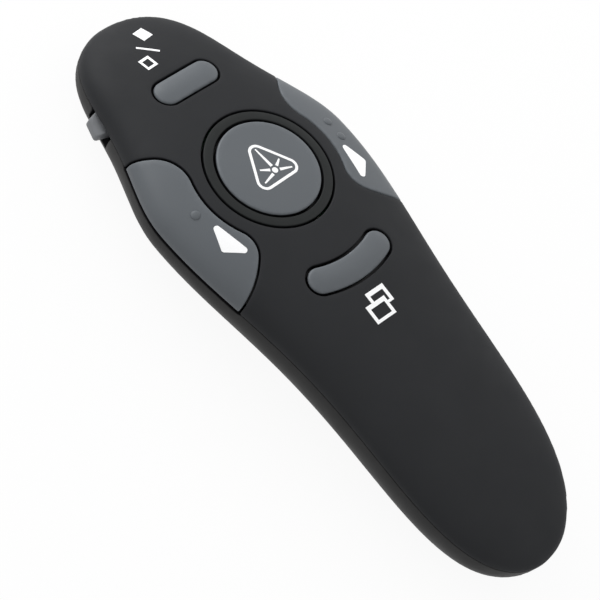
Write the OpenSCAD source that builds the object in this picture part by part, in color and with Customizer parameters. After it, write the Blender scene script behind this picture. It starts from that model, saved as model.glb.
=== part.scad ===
// Handheld wireless presentation clicker with a laser pointer.
// Y runs from the tail to the nose, X to the right, Z up through the keys.
// The origin is under the middle of the body, on the surface it rests on.

/* [Body] */
// Length from the tail to the nose
body_l = 130; // [124:1:140]
// Half width of the tail, before it rounds off
tail_half_w = 18.8; // [18:0.1:21]
// Half width of the nose, before it rounds off
nose_half_w = 15.8; // [15:0.1:18]
// How far the belly swells out on each side
belly_swell = 7.5; // [6.5:0.1:9]
// Widest point of the belly, from the middle towards the nose
belly_y = 23.9; // [21:0.1:27]
// How far the belly takes to fade towards the tail
belly_back = 30.7; // [26:0.1:36]
// How far the belly takes to fade towards the nose
belly_front = 16.5; // [14:0.1:20]
// Bluntness of the tail in plan
tail_blunt = 4.9; // [4:0.1:6]
// Bluntness of the nose in plan
nose_blunt = 9; // [6:0.5:12]
// Bluntness of both ends seen from the side
end_blunt = 9.8; // [8:0.2:14]
// Height of the seam at the tail
seam_tail = 9.3; // [8.8:0.1:11]
// Height of the seam in the middle
seam_mid = 14.7; // [14.4:0.1:16]
// Height of the seam at the nose
seam_nose = 7.8; // [7:0.1:10]
// Rise of the top above the seam at the tail
rise_tail = 2.7; // [2.4:0.1:4]
// Rise of the top above the seam in the middle
rise_mid = 6.6; // [6.2:0.1:8]
// Rise of the top above the seam at the nose
rise_nose = 5.2; // [4.8:0.1:7]
// Depth of the underside below the seam at the tail
depth_tail = 11.5; // [11:0.1:13]
// Depth of the underside below the seam in the middle
depth_mid = 13.5; // [13:0.1:14.5]
// Depth of the underside below the seam at the nose
depth_nose = 10; // [9:0.1:12]
// Squareness of the top in cross section
top_square = 2.75; // [2.4:0.05:3.2]
// Squareness of the underside in cross section
under_square = 2.35; // [2.1:0.05:2.8]
// Wall of both shells and of the battery cover
wall = 1.5; // [1.2:0.1:1.7]
// Line between the two shells at the seam
seam_gap = 0.1; // [0:0.05:0.2]

/* [Laser key and ring] */
// Centre of the ring, from the middle towards the nose
ring_y = 22.7; // [20:0.1:25]
// Radius of the hole in the top shell
ring_hole_r = 13.1; // [12.6:0.1:13.6]
// Width of the trim ring's face
ring_face_w = 1.85; // [1.6:0.05:2.6]
// Gap between the trim ring and the shell
ring_gap = 0.45; // [0.2:0.05:0.5]
// How proud the laser key stands
laser_key_proud = 0.2; // [0.1:0.1:0.8]

/* [Page keys] */
// Web of shell between the ring's hole and a page key
page_web = 2.55; // [2.2:0.05:3.2]
// Angle of a page key's front edge, seen from the ring's centre
page_front_angle = 39.3; // [36:0.1:42]
// Angle of a page key's rear edge, seen from the ring's centre
page_rear_angle = 42.5; // [39:0.1:45]
// Corner radius at the front of a page key
page_front_r = 7.5; // [5:0.1:9]
// Corner radius at the rear of a page key
page_rear_r = 5.2; // [3.5:0.1:6.5]
// How far short of that edge's angle the rear corner stops
page_rear_ease = 6; // [3:0.5:10]
// Radius of the bulging rear edge of a page key
page_bulge_r = 22; // [16:1:40]
// Height of a page key's lower edge above the seam
page_seam_gap = 0.35; // [0.35:0.05:0.8]
// Radius of the finger dots on the page keys
dot_r = 0.95; // [0.7:0.05:1.2]
// Height of the finger dots
dot_h = 0.3; // [0.2:0.05:0.5]
// Spacing of the two dots on the page forward key
dot_pitch = 3.8; // [3:0.1:5]
// Centre of the finger dots, out from the centreline
dot_x = 19; // [17.5:0.1:20]

/* [Short keys] */
// Space past the blank screen key, up to the tip of the nose
blank_nose = 9.7; // [7:0.1:13]
// How far its switch lies behind the middle of the blank screen key
blank_switch_back = 1.2; // [1:0.1:1.4]
// Half length of both short keys, between the centres of their round ends
blank_half_l = 5.1; // [4:0.1:6]
// Distance of the window key from the ring's centre
window_bend_r = 24.3; // [23:0.1:25]
// Half length of the window key, between the centres of its round ends
window_half_l = 7.5; // [6:0.1:8]
// Half width of the openings for the short keys
slot_half_w = 3; // [2.6:0.1:3.3]
// How proud the short keys stand
short_key_proud = 0.3; // [0.2:0.1:1]

/* [Key action] */
// Gap round each key
key_gap = 0.4; // [0.25:0.05:0.5]
// How far a key goes down
key_travel = 0.3; // [0.2:0.05:0.4]
// Width of the rim under each key that keeps it in
key_rim = 0.9; // [0.7:0.1:1.2]
// Thickness of that rim
key_rim_t = 0.8; // [0.6:0.1:1]
// Play between a key's rim and what it sits under
key_play = 0.15; // [0.1:0.05:0.25]
// Radius of the post under each key
post_r = 1.2; // [1.1:0.1:1.4]
// Width of a key switch
switch_w = 3.6; // [3.2:0.1:3.8]
// Height of a key switch
switch_h = 1.6; // [1.4:0.1:1.7]
// Radius of a key switch's plunger
plunger_r = 1.05; // [0.8:0.05:1.2]
// How far a plunger stands out of its switch
plunger_out = 0.6; // [0.5:0.05:0.8]
// Running clearance round a plunger
plunger_fit = 0.05; // [0.03:0.01:0.08]

/* [Power knob] */
// Middle of the knob's slot, in from the tip of the nose
knob_in = 16.5; // [15:0.1:18]
// Length of the slot along the side
knob_slot_l = 7.3; // [7.2:0.1:8]
// Height of the slot below the seam
knob_slot_h = 3.6; // [3.2:0.1:3.8]
// Length of the knob
knob_l = 4.8; // [4.2:0.1:4.9]
// How far the knob stands out of the side
knob_out = 1.2; // [0.9:0.1:2]
// Gap above and below the knob
knob_gap = 0.3; // [0.15:0.05:0.3]
// Gap between the knob and the nose end of its slot
knob_front_gap = 0.5; // [0.4:0.05:0.6]
// How far the knob slides
knob_travel = 1.8; // [1.2:0.1:1.8]
// Thickness of the flange that keeps the knob in
flange_t = 0.8; // [0.6:0.1:1]
// Corner radius of the knob
knob_corner_r = 0.9; // [0.5:0.1:1.2]
// Distance of the knob's flange from the wall
flange_gap = 0.8; // [0.6:0.1:1]
// Height of the lever that works the switch
lever_h = 1.2; // [0.8:0.1:1.4]
// Reach of that lever
lever_reach = 1.4; // [1:0.1:1.6]
// Width of the lever that works the switch
lever_w = 1.2; // [0.8:0.1:1.4]
// Length of the power switch
switch_l = 7.4; // [7:0.1:8]
// Depth of the power switch
switch_d = 3.4; // [3:0.1:4]

/* [Battery bay] */
// Rim of the back shell round the battery cover
cover_rim = 3.2; // [2.8:0.1:3.8]
// Nose end of the battery cover
cover_nose_y = 20; // [19:0.1:21]
// Radius of the battery cover's nose end
cover_nose_r = 17; // [16:0.1:18]
// Gap round the battery cover
cover_gap = 0.2; // [0.15:0.05:0.3]
// Radius of the AAA cell
cell_r = 5.25; // [5:0.05:5.3]
// Length of the AAA cell with its positive cap
cell_l = 44.5; // [44:0.1:44.6]
// Radius of the cell's positive cap
cell_cap_r = 1.9; // [1.6:0.1:2.2]
// Height of the cell's positive cap
cell_cap_h = 1; // [0.8:0.1:1.2]
// Centre of the cell, right of the centreline
cell_x = 5.2; // [4.8:0.1:5.4]
// Room between the main board and the cell
bay_room = 2.4; // [2.3:0.1:3]
// Height of the middle of the cell
cell_z = 8; // [7.9:0.05:8.2]
// Slope of the cell and the receiver, following the underside
bay_tilt = 2.3; // [1.5:0.1:2.6]
// Clearance round the cell
cell_gap = 0.25; // [0.2:0.05:0.35]
// Room for the negative spring
spring_room = 2.9; // [2.5:0.1:3.2]
// Wire radius of the negative spring
spring_wire_r = 0.25; // [0.2:0.05:0.3]
// Wall of the battery tray
tray_wall = 0.9; // [0.7:0.1:1.1]
// Height of the tray's deck
deck_z = 4.4; // [4:0.1:4.8]
// Thickness of the tray's deck
deck_t = 1.2; // [1:0.1:1.5]
// Front edge of the tray's deck
deck_front_y = 15; // [13:0.1:16]
// Centre of the left window in the deck, from the centreline
deck_window_left = 10.5; // [9:0.5:11]
// Centre of the right window in the deck, from the centreline
deck_window_right = 3; // [2:0.5:5]
// Centre of both windows, back from the deck's front edge
deck_window_back = 7.3; // [6:0.1:9]
// Corner radius of the windows
deck_window_r = 0.4; // [0.2:0.1:0.8]
// Width of the two windows in the deck
deck_window_w = 3; // [2:0.5:4]
// Length of those windows
deck_window_l = 4.6; // [3:0.2:6]
// Tail end of the tray's deck, in from the tip of the tail
deck_tail = 5.5; // [5:0.1:6.5]
// Centre of the tail screw, left of the centreline
tail_screw_x = 4.2; // [4:0.1:4.4]
// Centre of the tail screw, in from the tip of the tail
tail_screw_in = 10; // [9.5:0.1:10.5]
// Radius of the well for the tail screw
well_r = 2.3; // [2:0.1:2.6]
// Height of the floor that the tail screw's head seats on
well_floor_z = 6.6; // [6.2:0.1:6.8]
// Distance of the cover's tongue from the deck's tail end
tongue_in = 1.3; // [1.1:0.1:1.6]
// Width of the tongue at the cover's tail
tongue_w = 5; // [3:0.5:8]
// Thickness of that tongue
tongue_t = 0.9; // [0.7:0.1:1.2]
// Distance of the grip mark from the cover's nose end
mark_in = 5; // [4:0.5:8]
// Width of the grip mark on the cover
mark_w = 4.8; // [3:0.2:6]
// Width of each bar of the grip mark
mark_bar = 0.7; // [0.4:0.1:1]
// Spacing of those bars
mark_pitch = 1.5; // [1.2:0.1:2]
// Depth of the grip mark
mark_depth = 0.3; // [0.2:0.05:0.5]
// Width of the positive contact
contact_w = 8; // [6:0.5:9]
// Height of the positive contact
contact_h = 7; // [5:0.5:8]
// Sheet of the positive contact
contact_t = 0.35; // [0.2:0.05:0.5]
// Turns of the negative spring
spring_turns = 3; // [2:1:4]
// Radius of the spring's end at the tray
spring_wide_r = 3.6; // [3:0.1:4]
// Radius of the spring's end at the cell
spring_narrow_r = 2.2; // [1.8:0.1:2.6]

/* [Receiver] */
// Centre of the receiver, left of the centreline
receiver_x = 6.6; // [6.4:0.1:6.8]
// How far the receiver's grip lies back from the cell's nose end
receiver_back = 0.1; // [0:0.1:1]
// Height of the middle of the receiver
receiver_z = 10.6; // [10.55:0.05:10.7]
// Length of the ribbed grip
grip_l = 19.5; // [17:0.1:20]
// Thickness of the grip
grip_t = 6.8; // [6:0.1:7]
// Width of the grip
grip_w = 12.4; // [12.2:0.1:12.6]
// Number of ribs on the grip
rib_count = 9; // [5:1:12]
// Width of the grooves between the ribs
rib_groove = 0.5; // [0.3:0.1:0.8]
// Depth of those grooves
rib_depth = 0.3; // [0.2:0.05:0.5]
// Length of the USB plug
plug_l = 14.5; // [12:0.1:15]
// Thickness of the USB plug
plug_t = 4.5; // [4.4:0.1:4.6]
// Width of the USB plug
plug_w = 12; // [11.9:0.1:12.1]
// Sheet of the USB plug's shell
plug_sheet = 0.35; // [0.3:0.05:0.4]
// Thickness of the plug's tongue
plug_tongue_t = 1.9; // [1.6:0.1:2]
// Clearance round the receiver
receiver_gap = 0.25; // [0.2:0.05:0.35]

/* [Latch] */
// Width of the cover's latch
latch_w = 6.4; // [5:0.1:8]
// Gap between the cover's nose end and the latch
latch_back = 0.4; // [0.4:0.05:0.6]
// Height of the latch's tang above the cover
latch_lift = 0.3; // [0.2:0.05:0.5]
// Leg thickness of the latch
latch_t = 0.8; // [0.7:0.05:1]
// Room between the two legs
latch_room = 2; // [1.6:0.1:2.4]
// Height of the latch's legs
latch_h = 5.6; // [4.5:0.1:6.5]
// How far the latch pushes in
latch_travel = 0.8; // [0.4:0.1:0.9]
// Length of the latch's tang, inside the cover
latch_tang_l = 8; // [6:0.1:9]

/* [Circuit] */
// Underside of the main board
board_z = 11; // [10.8:0.1:11.2]
// Thickness of the main board
board_t = 1.2; // [1:0.1:1.6]
// Margin between the board's edge and the body's side
board_margin = 4; // [3.6:0.1:4.6]
// Edge of the board past the window key's switch
board_edge = 0.05; // [0:0.05:0.2]
// Nose end of the board, in from the tip of the nose
board_nose_in = 15; // [14.7:0.1:16]
// Radius of the screws' threads
screw_r = 0.8; // [0.7:0.05:0.9]
// Radius of the screws' heads
head_r = 1.6; // [1.4:0.1:1.8]
// Height of the screws' heads
head_h = 1.1; // [0.9:0.1:1.3]
// Radius of the bosses that take the screws
boss_r = 2; // [1.8:0.1:2.3]
// Radial clearance of a screw in its boss
screw_fit = 0.05; // [0.03:0.01:0.08]
// How far a screw goes into its boss
screw_bite = 3.5; // [2.5:0.5:4]
// Room past the end of a screw
screw_end = 1.5; // [1:0.5:2]
// Board screws, out from the centreline
board_screw_x = 11; // [10:0.5:11.5]
// Front pair of board screws, from the middle towards the nose
board_screw_front_y = 38; // [37.5:0.5:39]
// Rear pair of board screws, from the middle towards the nose
board_screw_rear_y = 5.5; // [5:0.5:6]
// Rear edge of the radio chip and of the crystal, from the middle towards the nose
chip_y = 30; // [28:0.5:31]
// Width of the radio chip
chip_w = 5; // [3:0.5:6]
// Height of the radio chip
chip_h = 0.9; // [0.6:0.1:1.2]
// Length of the crystal's can
can_l = 5; // [4:0.5:6]
// Width of the crystal's can
can_w = 3; // [2.8:0.1:3.4]
// Height of the crystal's can
can_h = 1.2; // [0.8:0.1:1.4]

/* [Laser] */
// Radius of the laser's barrel
barrel_r = 2.7; // [2.4:0.1:2.8]
// Length of the laser's barrel
barrel_l = 9.6; // [8.5:0.1:10]
// Nose end of the barrel, in from the tip of the nose
barrel_in = 4.8; // [4.8:0.1:5.6]
// Wall of the barrel round its lens
barrel_wall = 0.5; // [0.4:0.05:0.7]
// Bore of the barrel behind its lens
barrel_bore_r = 1.2; // [0.8:0.1:1.5]
// Thickness of the ribs that cradle the barrel
barrel_rib_t = 1; // [0.8:0.1:1.4]
// Distance of those ribs from the barrel's ends
barrel_rib_in = 2.5; // [1.5:0.1:3]
// How far the lens lies in the barrel
lens_in = 0.6; // [0.3:0.1:1]
// Height of the laser's axis
laser_z = 5.8; // [5.6:0.1:6]
// Outer radius of the bezel in the nose
bezel_r = 1.7; // [1.5:0.1:1.8]
// Wall of the barrel round the laser diode's can
diode_wall = 0.7; // [0.5:0.1:0.9]
// Radius of the aperture
aperture_r = 1.2; // [0.9:0.1:1.3]
// How far the bezel lies back from the tip of the nose
bezel_back = 0.8; // [0.6:0.1:1.2]
// Thickness of the lens
lens_t = 1; // [0.6:0.1:1.4]
// Length of the laser diode's can
diode_l = 1.3; // [1:0.1:1.6]
// Length of the laser's driver board
driver_l = 5.5; // [4:0.5:8]
// Thickness of the driver board
driver_t = 1; // [0.6:0.1:1.2]

/* [Hidden] */
$fn = 48;

half_l = body_l / 2;
stations = 30;       // rings along a shell
arc_steps = 20;      // steps across a shell
tall = 2 * (seam_mid + rise_mid);       // height of cuts that go right through
trim_fit = 0.1;      // clearance round trim that doesn't move
seat_fit = 0.05;     // clearance of a piece from its seat
spring_fit = 0.15;   // clearance of the negative spring from the cell

// Colours of the materials
shell_grey = [0.22, 0.22, 0.225];
key_grey = [0.42, 0.44, 0.46];
inner_grey = [0.3, 0.31, 0.31];

// ---- Shape of the body ----

// Smooth value along the body from its tail, middle and nose values
function bow(y, tail, mid, nose) =
    let (u = y / half_l) mid + (nose - tail) / 2 * u + ((nose + tail) / 2 - mid) * u * u;
function fade(y) = exp(-pow((y - belly_y) / (y < belly_y ? belly_back : belly_front), 2));
function round_off(u, blunt) = sqrt(max(0, 1 - pow(abs(u), blunt)));
function full_half_w(y) =
    bow(y, tail_half_w, (tail_half_w + nose_half_w) / 2, nose_half_w) + belly_swell * fade(y);
// Half width of the surface at depth d below the skin
function half_w(y, d = 0) =
    round_off(y / (half_l - d), y > 0 ? nose_blunt : tail_blunt) * (full_half_w(y) - d);
function seam_z(y) = bow(y, seam_tail, seam_mid, seam_nose);
function rise(y, d = 0) =
    round_off(y / (half_l - d), end_blunt) * (bow(y, rise_tail, rise_mid, rise_nose) - d);
function drop(y, d = 0) =
    round_off(y / (half_l - d), end_blunt) * (bow(y, depth_tail, depth_mid, depth_nose) - d);
// Height of the top and of the underside at a point in plan
function bulge(x, w, square) = pow(max(0, 1 - pow(min(1, abs(x) / w), square)), 1 / square);
function top_z(x, y, d = 0) = seam_z(y) + rise(y, d) * bulge(x, half_w(y, d), top_square);
function under_z(x, y, d = 0) = seam_z(y) - drop(y, d) * bulge(x, half_w(y, d), under_square);

// One point of a cross section: angle 0 is the right seam, 90 the crown, 180 the left seam
function power(v, square) = sign(v) * pow(abs(v), 2 / square);
function top_point(y, a, d, lift = 0) =
    [half_w(y, d) * power(cos(a), top_square), y,
     seam_z(y) + max(lift, rise(y, d) * power(sin(a), top_square))];
function under_point(y, a, d, lift = 0) =
    [half_w(y, d) * power(cos(a), under_square), y,
     seam_z(y) - max(lift, drop(y, d) * power(sin(a), under_square))];
function top_arc(y, a0, a1, d, lift, n) =
    [for (k = [0:n]) top_point(y, a0 + (a1 - a0) * k / n, d, lift)];
function under_arc(y, a0, a1, d, lift, n) =
    [for (k = [0:n]) under_point(y, a0 + (a1 - a0) * k / n, d, lift)];
// Station i along a surface at depth d: close together at the ends
function station_y(i, d) = -cos(180 * i / stations) * (half_l - d);

// Closed solid through a list of rings with the same number of points each
module loft(rings, capped = false) {
    n = len(rings[0]);
    last = (len(rings) - 1) * n;
    sides = [for (i = [0:len(rings) - 2]) for (j = [0:n - 1])
        let (a = i * n + j, b = i * n + (j + 1) % n) each [[a, b, b + n], [a, b + n, a + n]]];
    ends = capped ? [[for (j = [n - 1:-1:0]) j], [for (j = [0:n - 1]) last + j]] : [];
    polyhedron([for (ring = rings) each ring], concat(sides, ends), convexity = 8);
}

// Upper skin of the body between two depths
module top_skin(d0, d1) {
    loft([for (i = [0:stations]) concat(
        top_arc(station_y(i, d0), 0, 180, d0, 0, arc_steps),
        top_arc(station_y(i, d1), 180, 0, d1, 0, arc_steps))]);
}

// Lower skin of the body between two depths
module under_skin(d0, d1) {
    loft([for (i = [0:stations]) concat(
        under_arc(station_y(i, d1), 0, 180, d1, seam_gap, arc_steps),
        under_arc(station_y(i, d0), 180, 0, d0, seam_gap, arc_steps))]);
}

// Everything inside depth d
module core(d) {
    loft([for (i = [0:stations]) let (y = station_y(i, d)) concat(
        top_arc(y, 0, 180, d, 0, arc_steps),
        [for (k = [1:arc_steps - 1]) under_point(y, 180 - 180 * k / arc_steps, d)])]);
}

// Patch of the top between two depths, from angle a0 to a1
module top_patch(y0, y1, a0, a1, d0, d1, lift = 0) {
    rows = ceil((y1 - y0) / 3);
    steps = ceil((a1 - a0) / 9);
    loft([for (i = [0:rows]) let (y = y0 + (y1 - y0) * i / rows) concat(
        top_arc(y, a0, a1, d0, lift, steps),
        top_arc(y, a1, a0, d1, lift, steps))], capped = true);
}

// The surface that the part rests on cuts the underside flat
module rest_cut() {
    translate([-body_l / 2, -body_l, -tall])
        cube([body_l, 2 * body_l, tall]);
}

// ---- Outlines in plan ----

function polar(c, r, a) = [c[0] + r * cos(a), c[1] + r * sin(a)];
function arc(c, r, a0, a1, n) = [for (k = [0:n]) polar(c, r, a0 + (a1 - a0) * k / n)];
ring_c = [0, ring_y];
page_r = ring_hole_r + page_web;

// Front edge of a page key: a rounded corner from its inner arc to a radial edge
function page_front(grow) =
    let (r = page_front_r, mid = page_front_angle - asin(r / (page_r + r)))
    arc(polar(ring_c, page_r + r, mid), r + grow, mid + 180, page_front_angle + 90, 6);
// Rear edge of a page key: a rounded corner that runs into a bulging edge
function page_rear(grow) =
    let (r = page_rear_r, mid = asin(r / (page_r + r)) - page_rear_angle)
    let (c = polar(ring_c, page_r + r, mid), turn = 270 - page_rear_angle - page_rear_ease)
    concat(arc(c, r + grow, mid + 180, turn, 6),
        [for (k = [1:8]) polar(polar(c, r - page_bulge_r, turn), page_bulge_r + grow, turn + 6 * k)]);

// Page key seen from above, running out past the body's side
module page_outline(grow) {
    front = page_front(grow);
    rear = page_rear(grow);
    inner = arc(ring_c, page_r - grow, front_start(), rear_start(), 8);
    polygon(concat([polar(front[6], page_r, page_front_angle)],
        [for (k = [6:-1:1]) front[k]], inner, [for (k = [1:14]) rear[k]]));
}
function front_start() = page_front_angle - asin(page_front_r / (page_r + page_front_r));
function rear_start() = -page_rear_angle + asin(page_rear_r / (page_r + page_rear_r));

// Bent slot with round ends: r is the bend radius, dir the way it faces from its centre
module bent_slot(c, r, dir, half_length, half_width) {
    reach = asin(half_length / r);
    polygon(concat(
        arc(c, r + half_width, dir - reach, dir + reach, 6),
        arc(polar(c, r, dir + reach), half_width, dir + reach, dir + reach + 180, 10),
        arc(c, r - half_width, dir + reach, dir - reach, 6),
        arc(polar(c, r, dir - reach), half_width, dir - reach + 180, dir - reach + 360, 10)));
}

module blank_outline(grow) {
    polygon(concat(arc([blank_half_l, blank_y], slot_half_w + grow, -90, 90, 10),
        arc([-blank_half_l, blank_y], slot_half_w + grow, 90, 270, 10)));
}

module window_outline(grow) {
    bent_slot(ring_c, window_bend_r, -90, window_half_l, slot_half_w + grow);
}

// Battery cover seen from above
function cover_half_w(y, grow) =
    let (c = cover_nose_y - cover_nose_r, r = cover_nose_r + grow)
    min(half_w(y, cover_rim - grow), y > c ? sqrt(max(0, r * r - (y - c) * (y - c))) : r);
module cover_outline(grow) {
    y0 = -(half_l - cover_rim + grow);
    y1 = cover_nose_y + grow;
    n = 40;
    side = [for (k = [0:n]) let (y = (y0 + y1) / 2 - (y1 - y0) / 2 * cos(180 * k / n))
        [cover_half_w(y, grow), y]];
    polygon(concat(side, [for (k = [n - 1:-1:1]) [-side[k][0], side[k][1]]]));
}

// Rectangle with round corners, centred
module round_rect(w, h, r) {
    polygon([for (q = [0:3]) each arc([(q == 0 || q == 3 ? 1 : -1) * (w / 2 - r),
        (q < 2 ? 1 : -1) * (h / 2 - r)], r, 90 * q, 90 * q + 90, 5)]);
}

// ---- Places ----

window_y = ring_y - window_bend_r;
window_switch_y = window_y + slot_half_w - key_gap - post_r;
blank_y = (ring_y + ring_hole_r + half_l - blank_nose) / 2;
blank_switch_y = blank_y - blank_switch_back;
knob_y = half_l - knob_in;
board_nose_y = half_l - board_nose_in;
page_switch_x = page_r + key_gap + post_r;
page_switch_y = ring_y - post_r;
board_tail_y = window_switch_y - switch_w / 2 - board_edge;
cell_front_y = board_tail_y - bay_room;
receiver_front_y = cell_front_y - receiver_back;
deck_tail_y = deck_tail - half_l;
board_top = board_z + board_t;
barrel_front_y = half_l - barrel_in;
barrel_y = barrel_front_y - barrel_l;
board_screw_spots = [for (x = [-board_screw_x, board_screw_x])
    for (y = [board_screw_rear_y, board_screw_front_y]) [x, y]];
tail_screw_spot = [-tail_screw_x, tail_screw_in - half_l];

// ---- Shells ----

// Boss that hangs from the top shell, with a pilot hole for a screw
module hung_boss(spot, z0) {
    z1 = top_z(spot[0], spot[1], wall / 2);
    difference() {
        translate([spot[0], spot[1], z0])
            cylinder(r = boss_r, h = z1 - z0);
        translate([spot[0], spot[1], z0 - 1])
            cylinder(r = screw_r + screw_fit, h = screw_bite + screw_end);
    }
}

module top_shell() {
    color(shell_grey) {
        difference() {
            top_skin(0, wall);
            translate([0, ring_y, 0])
                cylinder(r = ring_hole_r, h = tall);
            linear_extrude(tall)
                blank_outline(0);
            linear_extrude(tall)
                window_outline(0);
            for (side = [-1, 1])
                scale([side, 1, 1])
                    linear_extrude(tall)
                        page_outline(0);
        }
        for (spot = board_screw_spots)
            hung_boss(spot, board_top);
        hung_boss(tail_screw_spot, well_floor_z + deck_t);
    }
}

module bezel_hole() {
    translate([0, barrel_front_y - 1, laser_z])
        rotate([-90, 0, 0])
            cylinder(r = bezel_r + trim_fit, h = tall);
}

module back_shell() {
    color(shell_grey) {
        difference() {
            under_skin(0, wall);
            linear_extrude(tall)
                cover_outline(0);
            latch_notch();
            knob_slot();
            bezel_hole();
            rest_cut();
        }
        barrel_rib(barrel_y + barrel_rib_in);
        barrel_rib(barrel_front_y - barrel_rib_in - barrel_rib_t);
    }
}

// Rib that cradles the laser's barrel
module barrel_rib(y) {
    z0 = under_z(0, y, wall / 2);
    difference() {
        translate([-barrel_r - 1, y, z0])
            cube([2 * barrel_r + 2, barrel_rib_t, laser_z - z0]);
        translate([0, y - 1, laser_z])
            rotate([-90, 0, 0])
                cylinder(r = barrel_r + seat_fit, h = 3);
    }
}

// ---- Battery cover and latch ----

latch_y = cover_nose_y + latch_back;    // back of the latch's inner leg
latch_front = latch_y + 2 * latch_t + latch_room;
latch_tang_y = latch_y - latch_tang_l;
latch_tang_z = under_z(0, latch_tang_y, wall) + latch_lift;
tongue_y = deck_tail_y + tongue_in;

module latch_notch() {
    translate([-latch_w / 2 - cover_gap, latch_tang_y, -1])
        cube([latch_w + 2 * cover_gap, latch_front + cover_gap - latch_tang_y, seam_mid / 2]);
}

// Tongue at the cover's tail that plugs into the tray
module cover_tongue(grow, z0) {
    translate([0, tongue_y, z0])
        linear_extrude(deck_z + deck_t - z0)
            square([tongue_w + 2 * grow, tongue_t + 2 * grow], center = true);
}

// Grip mark: bars and an arrow that points towards the tail
module grip_mark() {
    for (k = [0:2])
        translate([-mark_w / 2, mark_y - mark_pitch * k])
            square([mark_w, mark_bar]);
    translate([0, mark_y - 3 * mark_pitch + mark_bar])
        polygon([[-mark_w * 0.4, 0], [mark_w * 0.4, 0], [0, -mark_w / 2]]);
}

mark_y = cover_nose_y - mark_in;

module battery_cover() {
    mark_z = under_z(0, mark_y - 2 * mark_pitch) + mark_depth;
    color(shell_grey)
        difference() {
            union() {
                intersection() {
                    under_skin(0, wall);
                    linear_extrude(tall)
                        cover_outline(-cover_gap);
                }
                cover_tongue(0, under_z(0, tongue_y, wall / 2));
            }
            translate([-latch_w / 2 - cover_gap, latch_y - latch_travel - cover_gap, -1])
                cube([latch_w + 2 * cover_gap, latch_front - latch_y, seam_mid / 2]);
            translate([0, 0, -1])
                linear_extrude(mark_z + 1)
                    grip_mark();
            rest_cut();
        }
}

module cover_latch() {
    z1 = latch_tang_z + latch_h;
    foot = under_z(0, latch_front) + 0.1;
    color("darkgray")
        union() {
            translate([-latch_w / 2, latch_y, foot])
                difference() {
                    cube([latch_w, latch_front - latch_y, z1 - foot]);
                    translate([-1, latch_t, -1])
                        cube([latch_w + 2, latch_room, z1 - foot - latch_t + 1]);
                }
            translate([-latch_w / 2 + 1, latch_tang_y, latch_tang_z])
                cube([latch_w - 2, latch_tang_l + latch_t / 2, latch_t]);
        }
}

// ---- Battery tray ----

contact_room = 2 * contact_t;
trough_r = cell_r + cell_gap;

// Frame of the cell: Y along its axis, origin at its middle
module cell_frame() {
    translate([cell_x, cell_front_y - cell_l / 2, cell_z])
        rotate([bay_tilt, 0, 0])
            children();
}

// Frame of the receiver: Y along its length, origin in the middle of its grip's nose end
module receiver_frame() {
    reach = (grip_l + plug_l) / 2;
    translate([-receiver_x, receiver_front_y, receiver_z + reach * sin(bay_tilt)])
        rotate([bay_tilt, 0, 0])
            children();
}

// Round-topped channel along Y, open at the bottom
module channel(r, y0, y1) {
    translate([0, y0, 0])
        rotate([-90, 0, 0])
            cylinder(r = r, h = y1 - y0);
    translate([-r, y0, -2 * r])
        cube([2 * r, y1 - y0, 2 * r]);
}

// Box that holds the grip and the plug with a margin
module receiver_room(margin, z1) {
    translate([-grip_t / 2 - margin, -grip_l - margin, -grip_w])
        cube([grip_t + 2 * margin, grip_l + 2 * margin, grip_w + z1]);
    translate([-plug_t / 2 - margin, -grip_l - plug_l - margin, -grip_w])
        cube([plug_t + 2 * margin, plug_l + 2 * margin, grip_w + z1]);
}

module battery_tray() {
    y0 = -cell_l / 2 - spring_room;
    y1 = cell_l / 2 + contact_room;
    spot = tail_screw_spot;
    color(inner_grey)
        difference() {
            intersection() {
                core(wall + cover_gap);
                translate([-body_l / 2, -body_l, deck_z])
                    cube([body_l, 2 * body_l, tall]);
                union() {
                    translate([-body_l / 2, deck_tail_y, deck_z])
                        cube([body_l, deck_front_y - deck_tail_y, deck_t]);
                    cell_frame()
                        channel(trough_r + tray_wall, y0 - tray_wall, y1 + tray_wall);
                    receiver_frame()
                        receiver_room(receiver_gap + tray_wall, tray_wall);
                    translate([spot[0], spot[1], deck_z])
                        cylinder(r = well_r + tray_wall, h = well_floor_z + deck_t - deck_z);
                }
            }
            cell_frame()
                channel(trough_r, y0, y1);
            receiver_frame()
                receiver_room(receiver_gap, tall);
            translate([spot[0], spot[1], 0])
                cylinder(r = well_r, h = well_floor_z);
            translate([spot[0], spot[1], 0])
                cylinder(r = screw_r + 0.2, h = tall);
            cover_tongue(cover_gap, 0);
            for (x = [-deck_window_left, deck_window_right])
                translate([x, deck_front_y - deck_window_back, 0])
                    linear_extrude(tall)
                        round_rect(deck_window_w, deck_window_l, deck_window_r);
        }
}

module aaa_cell() {
    color("dimgray")
        cell_frame()
            translate([0, -cell_l / 2, 0])
                rotate([-90, 0, 0])
                    cylinder(r = cell_r, h = cell_l - cell_cap_h);
}

module cell_cap() {
    color("silver")
        cell_frame()
            translate([0, cell_l / 2 - cell_cap_h, 0])
                rotate([-90, 0, 0])
                    cylinder(r = cell_cap_r, h = cell_cap_h);
}

module positive_contact() {
    color("silver")
        cell_frame()
            translate([-contact_w / 2, cell_l / 2 + contact_room - contact_t, -contact_h / 2])
                cube([contact_w, contact_t, contact_h]);
}

// Conical spring: wound round Y, wide at the tray's wall and narrow at the cell
module negative_spring() {
    steps = 16 * spring_turns;
    y0 = -cell_l / 2 - spring_room + spring_wire_r;
    length = spring_room - 2 * spring_wire_r - spring_fit;
    color("silver")
        cell_frame()
            loft([for (i = [0:steps])
                let (a = 360 * spring_turns * i / steps, y = y0 + length * i / steps,
                     r = spring_wide_r + (spring_narrow_r - spring_wide_r) * i / steps)
                [for (k = [0:7]) let (b = 45 * k, rr = r + spring_wire_r * cos(b))
                    [rr * cos(a), y + spring_wire_r * sin(b), rr * sin(a)]]], capped = true);
}

// ---- Receiver ----

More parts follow.
